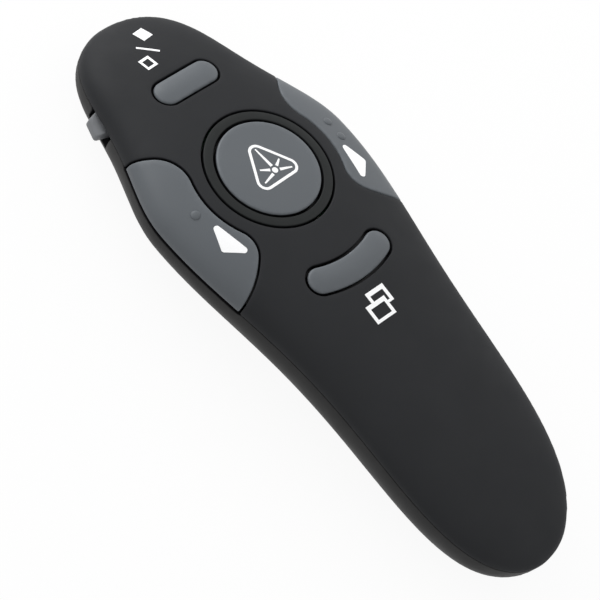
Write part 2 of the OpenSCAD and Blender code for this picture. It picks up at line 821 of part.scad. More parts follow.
module receiver_grip() {
    pitch = grip_l / (rib_count + 1);
    color(shell_grey)
        receiver_frame()
            difference() {
                translate([-grip_t / 2, -grip_l, -grip_w / 2])
                    cube([grip_t, grip_l, grip_w]);
                for (k = [1:rib_count])
                    for (side = [-1, 1])
                        translate([-grip_t, -pitch * k - rib_groove / 2, side * grip_w / 2 - rib_depth])
                            cube([2 * grip_t, rib_groove, 2 * rib_depth]);
            }
}

module receiver_plug() {
    color("silver")
        receiver_frame()
            difference() {
                translate([-plug_t / 2, -grip_l - plug_l, -plug_w / 2])
                    cube([plug_t, plug_l, plug_w]);
                translate([-plug_t / 2 + plug_sheet, -grip_l - plug_l - 1, -plug_w / 2 + plug_sheet])
                    cube([plug_t - 2 * plug_sheet, plug_l, plug_w - 2 * plug_sheet]);
            }
}

module receiver_tongue() {
    color("black")
        receiver_frame()
            translate([-plug_t / 2 + plug_sheet, -grip_l - plug_l + 0.5, -plug_w / 2 + plug_sheet])
                cube([plug_tongue_t, plug_l - 1.5, plug_w - 2 * plug_sheet]);
}

// ---- Ring and keys ----

ring_r = ring_hole_r - ring_gap;
ring_inner_r = ring_r - ring_face_w;
ring_lip_t = 0.7;
ring_lip_d = wall + seat_fit;
plunger_top = board_top + switch_h + plunger_out;

// Key: children are its face and its rim, in plan; the rim starts at depth d
module key_plate(y0, y1, a0, a1, proud, d, lift = 0) {
    difference() {
        intersection() {
            top_patch(y0, y1, a0, a1, -proud, d + key_rim_t, lift);
            linear_extrude(tall)
                children(1);
        }
        difference() {
            top_patch(y0 - 1, y1 + 1, max(a0 - 4, 0), a1 + 4, -proud - 1, d);
            linear_extrude(tall)
                children(0);
        }
    }
}

// Post under a key, down to its switch
module key_post(x, y) {
    translate([x, y, plunger_top])
        cylinder(r = post_r, h = top_z(x, y, 1) - plunger_top);
}

module button_ring() {
    lip_r = ring_hole_r + key_rim;
    color(shell_grey)
        difference() {
            intersection() {
                top_patch(ring_y - lip_r - 1, ring_y + lip_r + 1, 40, 140, 0, ring_lip_d + ring_lip_t);
                translate([0, ring_y, 0])
                    cylinder(r = lip_r, h = tall);
            }
            difference() {
                top_patch(ring_y - lip_r - 2, ring_y + lip_r + 2, 36, 144, -1, ring_lip_d);
                translate([0, ring_y, 0])
                    cylinder(r = ring_r, h = tall);
            }
            translate([0, ring_y, 0])
                cylinder(r = ring_inner_r, h = tall);
        }
}

module laser_button() {
    face_r = ring_inner_r - key_gap;
    rim_r = ring_inner_r + key_rim;
    color(key_grey) {
        key_plate(ring_y - rim_r - 1, ring_y + rim_r + 1, 40, 140, laser_key_proud,
                ring_lip_d + ring_lip_t + key_play) {
            translate([0, ring_y])
                circle(r = face_r);
            translate([0, ring_y])
                circle(r = rim_r);
        }
        key_post(0, ring_y);
    }
}

module blank_screen_button() {
    color(key_grey) {
        key_plate(blank_y - 5.6, blank_y + 5, 50, 130, short_key_proud, wall + key_play) {
            blank_outline(-key_gap);
            blank_outline(key_rim);
        }
        key_post(0, blank_switch_y);
    }
}

module window_button() {
    color(key_grey) {
        key_plate(window_y - 5, window_y + 6, 50, 130, short_key_proud, wall + key_play) {
            window_outline(-key_gap);
            window_outline(key_rim);
        }
        key_post(0, window_switch_y);
    }
}

// Finger dot on the side of a page key, standing square to the surface
module finger_dot(y) {
    slope = (top_z(dot_x - 0.5, y) - top_z(dot_x + 0.5, y));
    translate([dot_x, y, top_z(dot_x, y)])
        rotate([0, atan(slope), 0])
            translate([0, 0, -1])
                cylinder(r = dot_r, h = 1 + dot_h);
}

// Right-hand page key: the left one is its mirror image
module page_key(dots) {
    key_plate(ring_y - 23, ring_y + 21, 0, 76, 0, wall + key_play, page_seam_gap) {
        page_outline(-key_gap);
        page_outline(key_rim);
    }
    key_post(page_switch_x, page_switch_y);
    for (y = dots)
        finger_dot(y);
}

module page_forward_button() {
    color(key_grey)
        page_key([ring_y - dot_pitch / 2, ring_y + dot_pitch / 2]);
}

module page_back_button() {
    color(key_grey)
        mirror([1, 0, 0])
            page_key([ring_y]);
}

// ---- Key switches ----

switch_spots = [[0, ring_y], [0, blank_switch_y], [0, window_switch_y],
    [-page_switch_x, page_switch_y], [page_switch_x, page_switch_y]];

module key_switches() {
    color("black")
        for (spot = switch_spots)
            translate([spot[0], spot[1], board_top])
                difference() {
                    translate([-switch_w / 2, -switch_w / 2, 0])
                        cube([switch_w, switch_w, switch_h]);
                    translate([0, 0, 0.2])
                        cylinder(r = plunger_r + plunger_fit, h = switch_h);
                }
}

module plunger(k) {
    spot = switch_spots[k];
    z0 = board_top + 0.3 + key_travel;
    color("ivory")
        translate([spot[0], spot[1], z0])
            cylinder(r = plunger_r, h = plunger_top - z0);
}

module laser_plunger() { plunger(0); }
module blank_screen_plunger() { plunger(1); }
module window_plunger() { plunger(2); }
module page_back_plunger() { plunger(3); }
module page_forward_plunger() { plunger(4); }

// ---- Circuit ----

module main_board() {
    n = 24;
    side = [for (k = [0:n]) let (y = board_tail_y + (board_nose_y - board_tail_y) * k / n)
        [half_w(y) - board_margin, y]];
    color("darkgreen")
        translate([0, 0, board_z])
            linear_extrude(board_t)
                difference() {
                    polygon(concat(side, [for (k = [n:-1:0]) [-side[k][0], side[k][1]]]));
                    for (spot = board_screw_spots)
                        translate(spot)
                            circle(r = screw_r + 0.1);
                }
}

module radio_chip() {
    color("black")
        translate([board_screw_x / 2, chip_y, board_top])
            cube([chip_w, chip_w, chip_h]);
}

module crystal_can() {
    color("silver")
        translate([-board_screw_x * 0.75, chip_y, board_top])
            linear_extrude(can_h)
                round_rect(can_l, can_w, can_w * 0.45);
}

module screw(head_z, length) {
    translate([0, 0, head_z - head_h])
        cylinder(r = head_r, h = head_h);
    translate([0, 0, head_z])
        cylinder(r = screw_r, h = length);
}

module board_screws() {
    color("silver")
        for (spot = board_screw_spots)
            translate(spot)
                screw(board_z, board_t + screw_bite);
}

module tail_screw() {
    color("silver")
        translate(tail_screw_spot)
            screw(well_floor_z, deck_t + screw_bite);
}

// ---- Power switch ----

knob_angle = atan((half_w(knob_y - 2) - half_w(knob_y + 2)) / 4);
knob_z0 = seam_z(knob_y) - knob_slot_h + knob_gap;
knob_z1 = seam_z(knob_y + knob_slot_l / 2) - knob_gap;
knob_rest = knob_slot_l / 2 - knob_front_gap - knob_l / 2;
flange_x = wall + flange_gap;
switch_x = flange_x + flange_t + 0.4;

// Frame on the left side: -X out of the wall, Y along it towards the nose
module knob_frame() {
    translate([-half_w(knob_y), knob_y, 0])
        rotate([0, 0, -knob_angle])
            children();
}

module knob_slot() {
    knob_frame()
        translate([-3, -knob_slot_l / 2, seam_z(knob_y) - knob_slot_h])
            cube([3 + flange_x, knob_slot_l, tall]);
}

module power_knob() {
    reach = knob_out + flange_x + flange_t;
    color(key_grey)
        knob_frame()
            translate([0, knob_rest, knob_z0])
                linear_extrude(knob_z1 - knob_z0) {
                    translate([reach / 2 - knob_out, 0])
                        round_rect(reach, knob_l, knob_corner_r);
                    translate([flange_x, -knob_slot_l / 2 - 0.6])
                        square([flange_t, knob_slot_l + 1.2]);
                }
}

module power_lever() {
    color("ivory")
        knob_frame()
            translate([flange_x + flange_t, knob_rest - lever_w / 2, knob_z0 + 3 * knob_gap])
                cube([lever_reach, lever_w, lever_h]);
}

module power_switch() {
    color("silver")
        knob_frame()
            difference() {
                translate([switch_x, -switch_l / 2, knob_z0])
                    cube([switch_d, switch_l, board_z - knob_z0]);
                translate([switch_x - 1, knob_rest - knob_travel - lever_w / 2 - knob_gap,
                        knob_z0 + 2 * knob_gap])
                    cube([lever_reach + 0.8, knob_travel + lever_w + 2 * knob_gap,
                        lever_h + 2 * knob_gap]);
            }
}

// ---- Laser ----

module along_laser(y) {
    translate([0, y, laser_z])
        rotate([-90, 0, 0])
            children();
}
lens_r = barrel_r - barrel_wall;
lens_y = barrel_front_y - lens_in - lens_t;
diode_r = barrel_r - diode_wall;

module laser_barrel() {
    color("goldenrod")
        along_laser(barrel_y)
            difference() {
                cylinder(r = barrel_r, h = barrel_l);
                translate([0, 0, lens_y - barrel_y])
                    cylinder(r = lens_r, h = barrel_l);
                translate([0, 0, 1])
                    cylinder(r = barrel_bore_r, h = barrel_l);
            }
}

module laser_lens() {
    color("lightblue")
        along_laser(lens_y)
            cylinder(r = lens_r, h = lens_t);
}

module laser_diode() {
    color("gold")
        along_laser(barrel_y - diode_l)
            cylinder(r = diode_r, h = diode_l);
}

module laser_driver() {
    color("darkgreen")
        translate([-barrel_r, barrel_y - diode_l - driver_l, laser_z - driver_t / 2])
            cube([2 * barrel_r, driver_l, driver_t]);
}

module laser_bezel() {
    y0 = barrel_front_y + trim_fit;
    length = half_l - bezel_back - y0;
    color("black")
        along_laser(y0)
            difference() {
                cylinder(r = bezel_r, h = length);
                translate([0, 0, -1])
                    cylinder(r = aperture_r, h = length + 2);
            }
}

top_shell();
back_shell();
battery_cover();
cover_latch();
battery_tray();
button_ring();
laser_button();
blank_screen_button();
window_button();
page_back_button();
page_forward_button();
laser_plunger();
blank_screen_plunger();
window_plunger();
page_back_plunger();
page_forward_plunger();
key_switches();
main_board();
radio_chip();
crystal_can();
laser_barrel();
laser_lens();
laser_diode();
laser_driver();
laser_bezel();
power_switch();
power_lever();
power_knob();
aaa_cell();
cell_cap();
positive_contact();
negative_spring();
receiver_grip();
receiver_plug();
receiver_tongue();
tail_screw();
board_screws();
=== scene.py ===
"""Looks of a wireless presentation clicker: two soft-touch shells, satin keys, a slider, and the battery bay.

Lengths are in millimetres up to new_piece, which puts a piece in the frame's metres. x runs across, y from
tail to nose, and z up through the keys. Plan means seen from above."""

import math

import bpy
import numpy as np
from mathutils import Matrix, Vector
from mathutils.geometry import delaunay_2d_cdt


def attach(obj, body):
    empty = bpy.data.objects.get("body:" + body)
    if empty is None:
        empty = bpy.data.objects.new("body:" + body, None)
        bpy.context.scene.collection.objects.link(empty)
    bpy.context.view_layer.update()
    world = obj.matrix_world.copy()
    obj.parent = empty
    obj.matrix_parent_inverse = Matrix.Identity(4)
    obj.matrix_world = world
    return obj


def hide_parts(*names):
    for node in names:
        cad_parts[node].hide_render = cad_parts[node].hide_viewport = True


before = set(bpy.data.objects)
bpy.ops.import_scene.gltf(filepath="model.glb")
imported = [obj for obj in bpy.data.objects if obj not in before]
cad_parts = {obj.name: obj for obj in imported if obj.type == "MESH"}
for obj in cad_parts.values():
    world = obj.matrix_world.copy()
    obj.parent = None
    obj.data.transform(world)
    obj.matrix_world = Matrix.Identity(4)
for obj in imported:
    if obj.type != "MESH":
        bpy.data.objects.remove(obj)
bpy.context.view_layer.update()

# --- Sizes. The body follows the same rule as the part's own source ---
# Body; three sizes in a row are at the tail, in the middle and at the nose
HALF_L = 65.0
BODY_HALF_W = (18.8, 17.3, 15.8)
BODY_SEAM_Z = (9.3, 14.7, 7.8)
BODY_RISE = (2.7, 6.6, 5.2)
BODY_DEPTH = (11.5, 13.5, 10.0)
BELLY_Y, BELLY_SWELL, BELLY_BACK, BELLY_FRONT = 23.9, 7.5, 30.7, 16.5
TAIL_BLUNT, NOSE_BLUNT, END_BLUNT = 4.9, 9.0, 9.8
TOP_SQUARE, UNDER_SQUARE = 2.75, 2.35
WALL = 1.5
SEAM_GAP = 0.1
STAND_T = 0.3

# Laser key and its trim ring
RING_MIDDLE = np.array([0, 22.7])
RING_HOLE_R, RING_R, RING_INNER_R = 13.1, 12.65, 10.8
RING_T = 2.2
LASER_KEY_GAP = 0.55
LASER_KEY_PROUD = 0.2

# Short keys
SHORT_HALF_W = 3
SHORT_PROUD, SHORT_SWELL, SWELL_IN = 0.1, 0.4, 3
BLANK_Y, BLANK_LEFT, BLANK_RIGHT = 45.55, -4.8, 5.1
BLANK_SWITCH_Y = BLANK_Y - 1.2
BLANK_OPEN = 0.05
WINDOW_BEND_R, WINDOW_HALF_L = 24.3, 7.8
WINDOW_SWITCH_Y = -0.15
WINDOW_OPEN = 0.15

# Page keys: the angle of an edge is seen from the ring's middle
PAGE_R = 15.65
PAGE_REAR = {"angle": -42.5, "r": 5.2, "ease": 6, "bulge_r": 22}
PAGE_FRONT = {"angle": 39.3, "r": 7.5, "ease": 0, "bulge_r": None}
FORWARD_KEY_GAP = 0.2
PAGE_SEAM_GAP, RIM_SEAM_GAP = 0.12, 1.6
PAGE_SWITCH = (17.25, 21.5)
PAGE_RELIEF, RELIEF_TAIL_Y, RELIEF_NOSE_Y, RELIEF_RUN = 0.5, 3.55, 39.1, 0.4
DOT_X = 18.9

# Key action
KEY_GAP = 0.4
KEY_EDGE_R, PAGE_EDGE_R = 0.4, 0.35
KEY_RIM, KEY_RIM_T, KEY_RIM_R = 0.9, 0.8, 0.1
KEY_PLAY = 0.15
KEY_POST_R, KEY_POST_FOOT = 1.2, 14.4

# Posts for the board's screws and the tail's: where they stand and how high their foot is
POSTS = [(x, y, 12.2) for y in (5.5, 38) for x in (-11, 11)] + [(-4.2, -55, 7.8)]
POST_R, POST_BORE_R, POST_BORE_L = 2.0, 0.85, 5

# Knob of the power switch
KNOB_Y, KNOB_Z0, KNOB_Z1 = 48.5, 7.416, 9.84
KNOB_ANGLE = math.radians(15.8554)
KNOB_PLAN = [(3.1, -1.65), (3.1, 3.15), (0.7, 3.15), (-1.2, 2.1), (-1.2, -1.75)]
KNOB_LOW = 0.1
KNOB_FLANGE = (2.3, 3.1, -4.25, 4.25)
SLOPE_X, SLOPE_RUN, SLOPE_Z, SLOPE_DROP = 0.6, 1.8, 8.6, 0.9
SLOT_HALF_L, SLOT_BELOW = 3.65, 0.25

# Battery bay, cover and latch
COVER_RIM, COVER_GAP = 3.2, 0.2
COVER_NOSE_Y, COVER_NOSE_R = 20, 17
COVER_BEND_Y = COVER_NOSE_Y - COVER_NOSE_R
CUT_HALF_W, BAY_CUT_Y, COVER_CUT_Y = 3.4, 24.2, 19.4
MARK_HALF_W, MARK_BAR, MARK_DEPTH, MARK_BARS_Y = 2.4, 0.7, 0.3, (15.0, 13.5, 12.0)
MARK_ARROW = [(-1.92, 11.2), (0, 8.8), (1.92, 11.2)]
TONGUE, TONGUE_TOP = (-2.5, 2.5, -58.65, -57.75), 5.6
LATCH_HALF_W, LATCH_T, LATCH_Y0, LATCH_Y1, LATCH_LEG, LATCH_R = 3.2, 0.8, 20.4, 24.0, 5.6, 1.8
TANG, TANG_LIFT = (-2.2, 2.2, 12.4, 20.8), 0.3
BAY_TILT = math.radians(2.3)

# Laser barrel and its bezel
BARREL_Z, BARREL_SEAT_R = 5.8, 2.75
CRADLES_Y, CRADLE_HALF_W, CRADLE_T = (53.1, 56.7), 3.7, 1.0
BEZEL_R, BEZEL_BORE_R, BEZEL_L, BEZEL_Y, NOSE_HOLE_R = 1.7, 1.2, 3.9, 60.3, 1.8

# Cell and receiver
CELL_AT, CELL_R = (5.2, -26.65, 8.0), 5.25
SLEEVE_TAIL, SLEEVE_NOSE = (-44.2, -44.0), (-15.2, -15.0)
RECEIVER_X, RECEIVER_Y, RECEIVER_Z, RECEIVER_HALF_L = -6.6, -4.5, 10.6, 17
GRIP_L, GRIP_HALF_W, GRIP_HALF_T = 19.5, 6.2, 3.4
GRIP_RIBS, GRIP_PITCH, GROOVE_DEPTH = 9, 1.95, 0.3

# Meshes: distances between points, slope of a dent, width of the painted edge highlight, ink above and below
# the surface
FINE, EVEN = 0.3, 0.45
ROW_PITCH, KEEP_OFF = 0.866, 0.6
DENT_SLOPE = 0.08
RIM_HIGHLIGHT_W = 0.5
SHARP_EDGE = math.radians(50)
INK_PROUD, INK_SUNK = 0.025, 0.03
TOUCH, MERGE, TINY = 1e-6, 1e-7, 1e-9

# --- Shape of the body ---


def bow(y, tail, mid, nose):
    """A size that changes smoothly along the body."""
    u = y / HALF_L
    return mid + (nose - tail) / 2 * u + ((nose + tail) / 2 - mid) * u * u


def round_off(u, blunt):
    """1 along the body, falling to 0 at its ends."""
    return np.sqrt(np.maximum(0.0, 1 - np.abs(u) ** blunt))


def full_half_w(y):
    """Half the width, as if the ends weren't rounded off."""
    fade = np.exp(-(((y - BELLY_Y) / np.where(y < BELLY_Y, BELLY_BACK, BELLY_FRONT)) ** 2))
    return bow(y, *BODY_HALF_W) + BELLY_SWELL * fade


def half_w(y, d=0.0):
    """Half the width, d inside the surface; rise and drop take the same d."""
    return round_off(y / (HALF_L - d), np.where(y > 0, NOSE_BLUNT, TAIL_BLUNT)) * (full_half_w(y) - d)


def seam_z(y):
    return bow(y, *BODY_SEAM_Z)


def rise(y, d=0.0):
    """Height of the crown above the seam."""
    return round_off(y / (HALF_L - d), END_BLUNT) * (bow(y, *BODY_RISE) - d)


def drop(y, d=0.0):
    """Depth of the belly below the seam."""
    return round_off(y / (HALF_L - d), END_BLUNT) * (bow(y, *BODY_DEPTH) - d)


def bulge(x, w, square):
    """1 over the middle, falling to 0 at half width w."""
    return np.maximum(0, 1 - np.minimum(1, np.abs(x) / w) ** square) ** (1 / square)


def top_z(x, y, d=0.0):
    return seam_z(y) + rise(y, d) * bulge(x, half_w(y, d), TOP_SQUARE)


def under_z(x, y, d=0.0):
    return seam_z(y) - drop(y, d) * bulge(x, half_w(y, d), UNDER_SQUARE)


class Skin:
    """One half of the body's surface, unrolled: across from the crown to the seam, along from tail to nose.

    t runs round the section from 0 at the seam to 1 at the crown, and a share is the distance from the crown
    over that of the seam. For each y, share holds it at even steps of t, and back holds t at even shares."""

    ROWS, STEPS = 721, 161

    def __init__(self, upper):
        self.way = 1 if upper else -1
        self.square = TOP_SQUARE if upper else UNDER_SQUARE
        self.height = rise if upper else drop
        self.y = HALF_L * np.sin(np.linspace(-math.pi / 2, math.pi / 2, self.ROWS))
        crown = seam_z(self.y) + self.way * self.height(self.y)
        self.along = np.concatenate([[0], np.cumsum(np.hypot(np.diff(self.y), np.diff(crown)))])
        self.along -= np.interp(0.0, self.y, self.along)
        t = np.linspace(0, 1, self.STEPS)
        c, h = self.section(t)
        x = half_w(self.y)[:, None] * c
        z = self.height(self.y)[:, None] * h
        step = np.hypot(np.diff(x, axis=1), np.diff(z, axis=1))
        run = np.concatenate([np.zeros((self.ROWS, 1)), np.cumsum(step[:, ::-1], axis=1)], axis=1)[:, ::-1]
        self.width = run[:, 0].copy()
        run[1:-1] /= self.width[1:-1, None]
        run[0], run[-1] = run[1], run[-2]
        self.share = run
        self.back = np.array([np.interp(t, r[::-1], t[::-1]) for r in run])

    def section(self, t):
        """How far out and how far up a point of the section lies, as shares of half width and height."""
        m = self.square / 2
        a = math.pi / 2 * t**m / (t**m + (1 - t) ** m)
        power = 2 / self.square
        return np.maximum(np.cos(a), 0) ** power, np.maximum(np.sin(a), 0) ** power

    def _look_up(self, table, y, column):
        row = (np.arcsin(np.clip(y / HALF_L, -1, 1)) + math.pi / 2) / math.pi * (self.ROWS - 1)
        i = np.clip(row.astype(int), 0, self.ROWS - 2)
        j = np.clip(column.astype(int), 0, self.STEPS - 2)
        u, v = row - i, column - j
        return ((table[i, j] * (1 - v) + table[i, j + 1] * v) * (1 - u)
                + (table[i + 1, j] * (1 - v) + table[i + 1, j + 1] * v) * u)

    def seam(self, y):
        """Distance from the crown to the seam."""
        return np.interp(y, self.y, self.width)

    def flat(self, points):
        """Plan points (x, y) to the unrolled surface."""
        p = np.asarray(points, float).reshape(-1, 2)
        x, y = p[:, 0], np.clip(p[:, 1], -HALF_L, HALF_L)
        c = np.clip(np.abs(x) / np.maximum(half_w(y), TINY), 0, 1)
        b = np.arccos(c ** (self.square / 2)) / (math.pi / 2)
        m = 2 / self.square
        t = b**m / (b**m + (1 - b) ** m)
        share = self._look_up(self.share, y, t * (self.STEPS - 1))
        return np.c_[np.sign(x) * share * self.seam(y), np.interp(y, self.y, self.along)]

    def lift(self, flat, out=0.0):
        """Unrolled points to the surface, moved out along its normal. Gives points and normals."""
        f = np.asarray(flat, float).reshape(-1, 2)
        y = np.interp(f[:, 1], self.along, self.y)
        share = np.clip(np.abs(f[:, 0]) / np.maximum(self.seam(y), TINY), 0, 1)
        t = self._look_up(self.back, y, share * (self.STEPS - 1))
        c, h = self.section(t)
        side = np.where(f[:, 0] < 0, -1.0, 1.0)
        x, z = side * half_w(y) * c, seam_z(y) + self.way * self.height(y) * h
        e, tip = 1e-3, 1e-4
        yy = np.clip(y, e - HALF_L + tip, HALF_L - e - tip)
        w, r = np.maximum(half_w(yy), tip), np.maximum(self.height(yy), tip)
        dw, dr, ds = ((size(yy + e) - size(yy - e)) / (2 * e) for size in (half_w, self.height, seam_z))
        n = self.square
        gx = side * c ** (n - 1) / w
        gz = self.way * h ** (n - 1) / r
        gy = -(c**n) * dw / w - h**n * dr / r - gz * ds
        normal = np.c_[gx, gy, gz]
        normal /= np.linalg.norm(normal, axis=1)[:, None]
        return np.c_[x, y, z] + normal * np.reshape(out, (-1, 1)), normal


TOP = Skin(True)
UNDER = Skin(False)

# --- Outlines ---


def arc(centre, r, a0, a1, n):
    """n steps along a circle, from angle a0 to a1 in degrees."""
    a = np.radians(np.linspace(a0, a1, n + 1))
    return np.c_[centre[0] + r * np.cos(a), centre[1] + r * np.sin(a)]


def even_loop(points, spacing):
    """A closed loop with its points evenly spaced."""
    p = np.vstack([points, points[:1]])
    run = np.concatenate([[0], np.cumsum(np.linalg.norm(np.diff(p, axis=0), axis=1))])
    keep = np.concatenate([[True], np.diff(run) > TINY])
    p, run = p[keep], run[keep]
    n = max(8, int(round(run[-1] / spacing)))
    s = np.linspace(0, run[-1], n, endpoint=False)
    return np.c_[np.interp(s, run, p[:, 0]), np.interp(s, run, p[:, 1])]


def dense_loop(points, spacing):
    """A closed loop that keeps its corners, with points added along its sides."""
    out = []
    for a, b in zip(points, np.roll(points, -1, axis=0)):
        n = max(1, int(math.ceil(np.linalg.norm(b - a) / spacing)))
        out.append(a + (b - a) * np.arange(n)[:, None] / n)
    return np.vstack(out)


def cross(a, b):
    """Positive where b lies to the left of a."""
    return a[:, 0] * b[:, 1] - a[:, 1] * b[:, 0]


def turned(loop, way):
    """The loop run anticlockwise for way 1, and clockwise for way -1."""
    return loop if np.sum(cross(loop, np.roll(loop, -1, axis=0))) * way > 0 else loop[::-1]


def round_corners(points, r, sharp=25.0):
    """A closed loop whose corners sharper than some degrees are rounded to about radius r."""
    p = np.asarray(points, float)
    n = len(p)
    a, b = p - np.roll(p, 1, axis=0), np.roll(p, -1, axis=0) - p
    turn = np.degrees(np.arctan2(cross(a, b), (a * b).sum(1)))
    cut_off, bends = set(), {}
    for i in (i for i in range(n) if abs(turn[i]) > sharp):
        reach = r * math.tan(math.radians(min(abs(turn[i]), 150)) / 2)
        ends = []
        for way in (-1, 1):
            j, left, at = i, reach, p[i]
            while True:
                j = (j + way) % n
                step = np.linalg.norm(p[j] - at)
                if step > left:
                    ends.append(at + (p[j] - at) * left / step)
                    break
                left -= step
                at = p[j]
                cut_off.add(j)
        u = np.linspace(0, 1, 7)[:, None]
        bends[i] = (1 - u) ** 2 * ends[0] + 2 * u * (1 - u) * p[i] + u**2 * ends[1]
    return np.vstack([bends.get(i, p[i : i + 1]) for i in range(n) if i in bends or i not in cut_off])


def shift(loop, e):
    """A loop moved in by e, to the left of its direction."""
    d = np.roll(loop, -1, axis=0) - np.roll(loop, 1, axis=0)
    d /= np.linalg.norm(d, axis=1)[:, None]
    return loop + np.c_[-d[:, 1], d[:, 0]] * e


def mirrored(loop):
    """The loop on the other side of the centreline, run the same way round."""
    return loop[::-1] * [-1, 1]


def inside(points, loop):
    x, y = points[:, :1], points[:, 1:]
    (x0, y0), (x1, y1) = loop.T, np.roll(loop, -1, axis=0).T
    level = (y0 > y) != (y1 > y)
    with np.errstate(divide="ignore", invalid="ignore"):
        beyond = x < (x1 - x0) * (y - y0) / (y1 - y0) + x0
    return np.count_nonzero(level & beyond, axis=1) % 2 == 1


def near(points, loop):
    """Distance of each point from the nearest point of a loop."""
    best = np.full(len(points), np.inf)
    for i in range(0, len(loop), 200):
        q = loop[i : i + 200]
        d = np.hypot(points[:, :1] - q[:, 0], points[:, 1:] - q[:, 1])
        best = np.minimum(best, d.min(1))
    return best


def last_good(lo, hi, good):
    """The value between lo and hi up to which good holds."""
    for _ in range(50):
        mid = (lo + hi) / 2
        lo, hi = (mid, hi) if good(mid) else (lo, mid)
    return lo


def toward(degrees):
    return np.array([math.cos(math.radians(degrees)), math.sin(math.radians(degrees))])


def rounded_rect(x0, x1, y0, y1, r):
    corners = ((x1 - r, y1 - r), (x0 + r, y1 - r), (x0 + r, y0 + r), (x1 - r, y0 + r))
    return np.vstack([arc(corner, r, 90 * k, 90 * (k + 1), 6) for k, corner in enumerate(corners)])


def ring_loop(r):
    """A circle about the middle of the laser key, on the unrolled top."""
    return TOP.flat(arc(RING_MIDDLE, r, 0, 358, 179))


def blank_loop(grow):
    """The blank screen key, a straight slot."""
    return TOP.flat(np.vstack([arc((x, BLANK_Y), SHORT_HALF_W + grow, a, a + 180, 30)
                               for x, a in ((BLANK_RIGHT, -90), (BLANK_LEFT, 90))]))


def window_loop(grow):
    """The window key, a slot bent round the ring."""
    half, rear = SHORT_HALF_W + grow, -90
    reach = math.degrees(math.asin(WINDOW_HALF_L / WINDOW_BEND_R))
    right, left = (RING_MIDDLE + WINDOW_BEND_R * toward(rear + s * reach) for s in (1, -1))
    return TOP.flat(np.vstack([
        arc(RING_MIDDLE, WINDOW_BEND_R + half, rear - reach, rear + reach, 40),
        arc(right, half, rear + reach, rear + reach + 180, 24)[1:-1],
        arc(RING_MIDDLE, WINDOW_BEND_R - half, rear + reach, rear - reach, 40),
        arc(left, half, rear - reach + 180, rear - reach + 360, 24)[1:-1]]))


def page_edge(grow, angle, r, ease, bulge_r):
    """A page key's edge in plan: a rounded corner off the inner arc, then out to the side. Gives the angle at
    which it leaves the arc, and the points."""
    way = 1 if angle > 0 else -1
    mid = angle - way * math.degrees(math.asin(r / (PAGE_R + r)))
    turn = angle + way * (90 + ease)
    c = RING_MIDDLE + (PAGE_R + r) * toward(mid)
    corner = arc(c, r + grow, mid + way * 180, turn, 24)
    out = toward(turn)
    if bulge_r:
        side = arc(c + (r - bulge_r) * out, bulge_r + grow, turn, turn - way * 48, 160)[1:]
    else:
        ahead = -way * np.array([-out[1], out[0]])
        side = corner[-1] + ahead * np.linspace(0, 14, 160)[1:, None]
    return mid, np.vstack([corner, side])


def page_path(grow, lift):
    """Edge of a right-hand page key on the unrolled top, from its rear end at the seam to its front end."""

    def to_side(plan):
        """The edge up to lift short of the seam, with its last points closer together."""
        f = TOP.flat(plan)
        room = np.where(plan[:, 0] < half_w(plan[:, 1]), TOP.seam(plan[:, 1]) - lift - f[:, 0], -TOUCH)
        k = int(np.argmax(room < 0))
        start, step = plan[k - 1], plan[k] - plan[k - 1]

        def clear(u):
            q = start + step * u
            return q[0] < half_w(q[1]) and TOP.seam(q[1]) - lift > TOP.flat([q])[0, 0]

        reach = last_good(0.0, 1.0, clear) * (1 - (1 - np.linspace(0, 1, 40)) ** 3)
        return np.vstack([f[:k], TOP.flat(start + step * reach[1:, None])])

    rear_mid, rear = page_edge(grow, **PAGE_REAR)
    front_mid, front = page_edge(grow, **PAGE_FRONT)
    inner = arc(RING_MIDDLE, PAGE_R - grow, rear_mid, front_mid, 40)
    return np.vstack([to_side(rear)[::-1], TOP.flat(inner)[1:-1], to_side(front)])


def ends_y(path):
    """Where along the body a path on the unrolled top starts and ends."""
    return [float(np.interp(path[k, 1], TOP.along, TOP.y)) for k in (0, -1)]


def seam_run(skin, y0, y1, side, gap, n):
    """n points along the seam and gap inside it, on the right for side 1."""
    turn = np.linspace(math.asin(max(-1, y0 / HALF_L)), math.asin(min(1, y1 / HALF_L)), n)
    y = HALF_L * np.sin(turn)
    gap = gap(y) if callable(gap) else gap
    return np.c_[side * np.maximum(skin.seam(y) - gap, 0), np.interp(y, skin.y, skin.along)]


def page_loop(grow, lift):
    """A whole page key on the unrolled top, closed along the seam."""
    edge = page_path(grow, lift)
    return round_corners(np.vstack([edge[:-1], seam_run(TOP, *ends_y(edge), 1, lift, 90)[::-1][:-1]]), 0.2)


def relief(y):
    """How far the back shell's edge stays below the seam: more under the page keys, which move past it."""
    return SEAM_GAP + (PAGE_RELIEF * np.clip((y - RELIEF_TAIL_Y) / RELIEF_RUN, 0, 1)
                       * np.clip((RELIEF_NOSE_Y - y) / RELIEF_RUN, 0, 1))


# --- Meshes ---


def in_scene(name, data):
    """A new object, linked to the scene."""
    obj = bpy.data.objects.new(name, data)
    bpy.context.scene.collection.objects.link(obj)
    return obj


def new_piece(name, solid, material, body, replaces):
    """An object in the frame's metres from a solid in millimetres."""
    mesh = bpy.data.meshes.new(name)
    mesh.from_pydata([tuple(p) for p in solid.points / 1000], [], solid.faces)
    # The face flags carry the near-black painted shade, and the point values the painted edge highlight, into
    # the material.
    mesh.attributes.new("painted_shade", "FLOAT", "FACE").data.foreach_set("value", solid.painted_shade)
    mesh.attributes.new("edge", "FLOAT", "POINT").data.foreach_set("value", solid.edge)
    mesh.validate()
    mesh.shade_smooth()
    mesh.set_sharp_from_angle(angle=SHARP_EDGE)
    mesh.materials.append(material)
    mesh.update()
    obj = in_scene(name, mesh)
    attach(obj, body)
    if replaces:
        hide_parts(replaces)


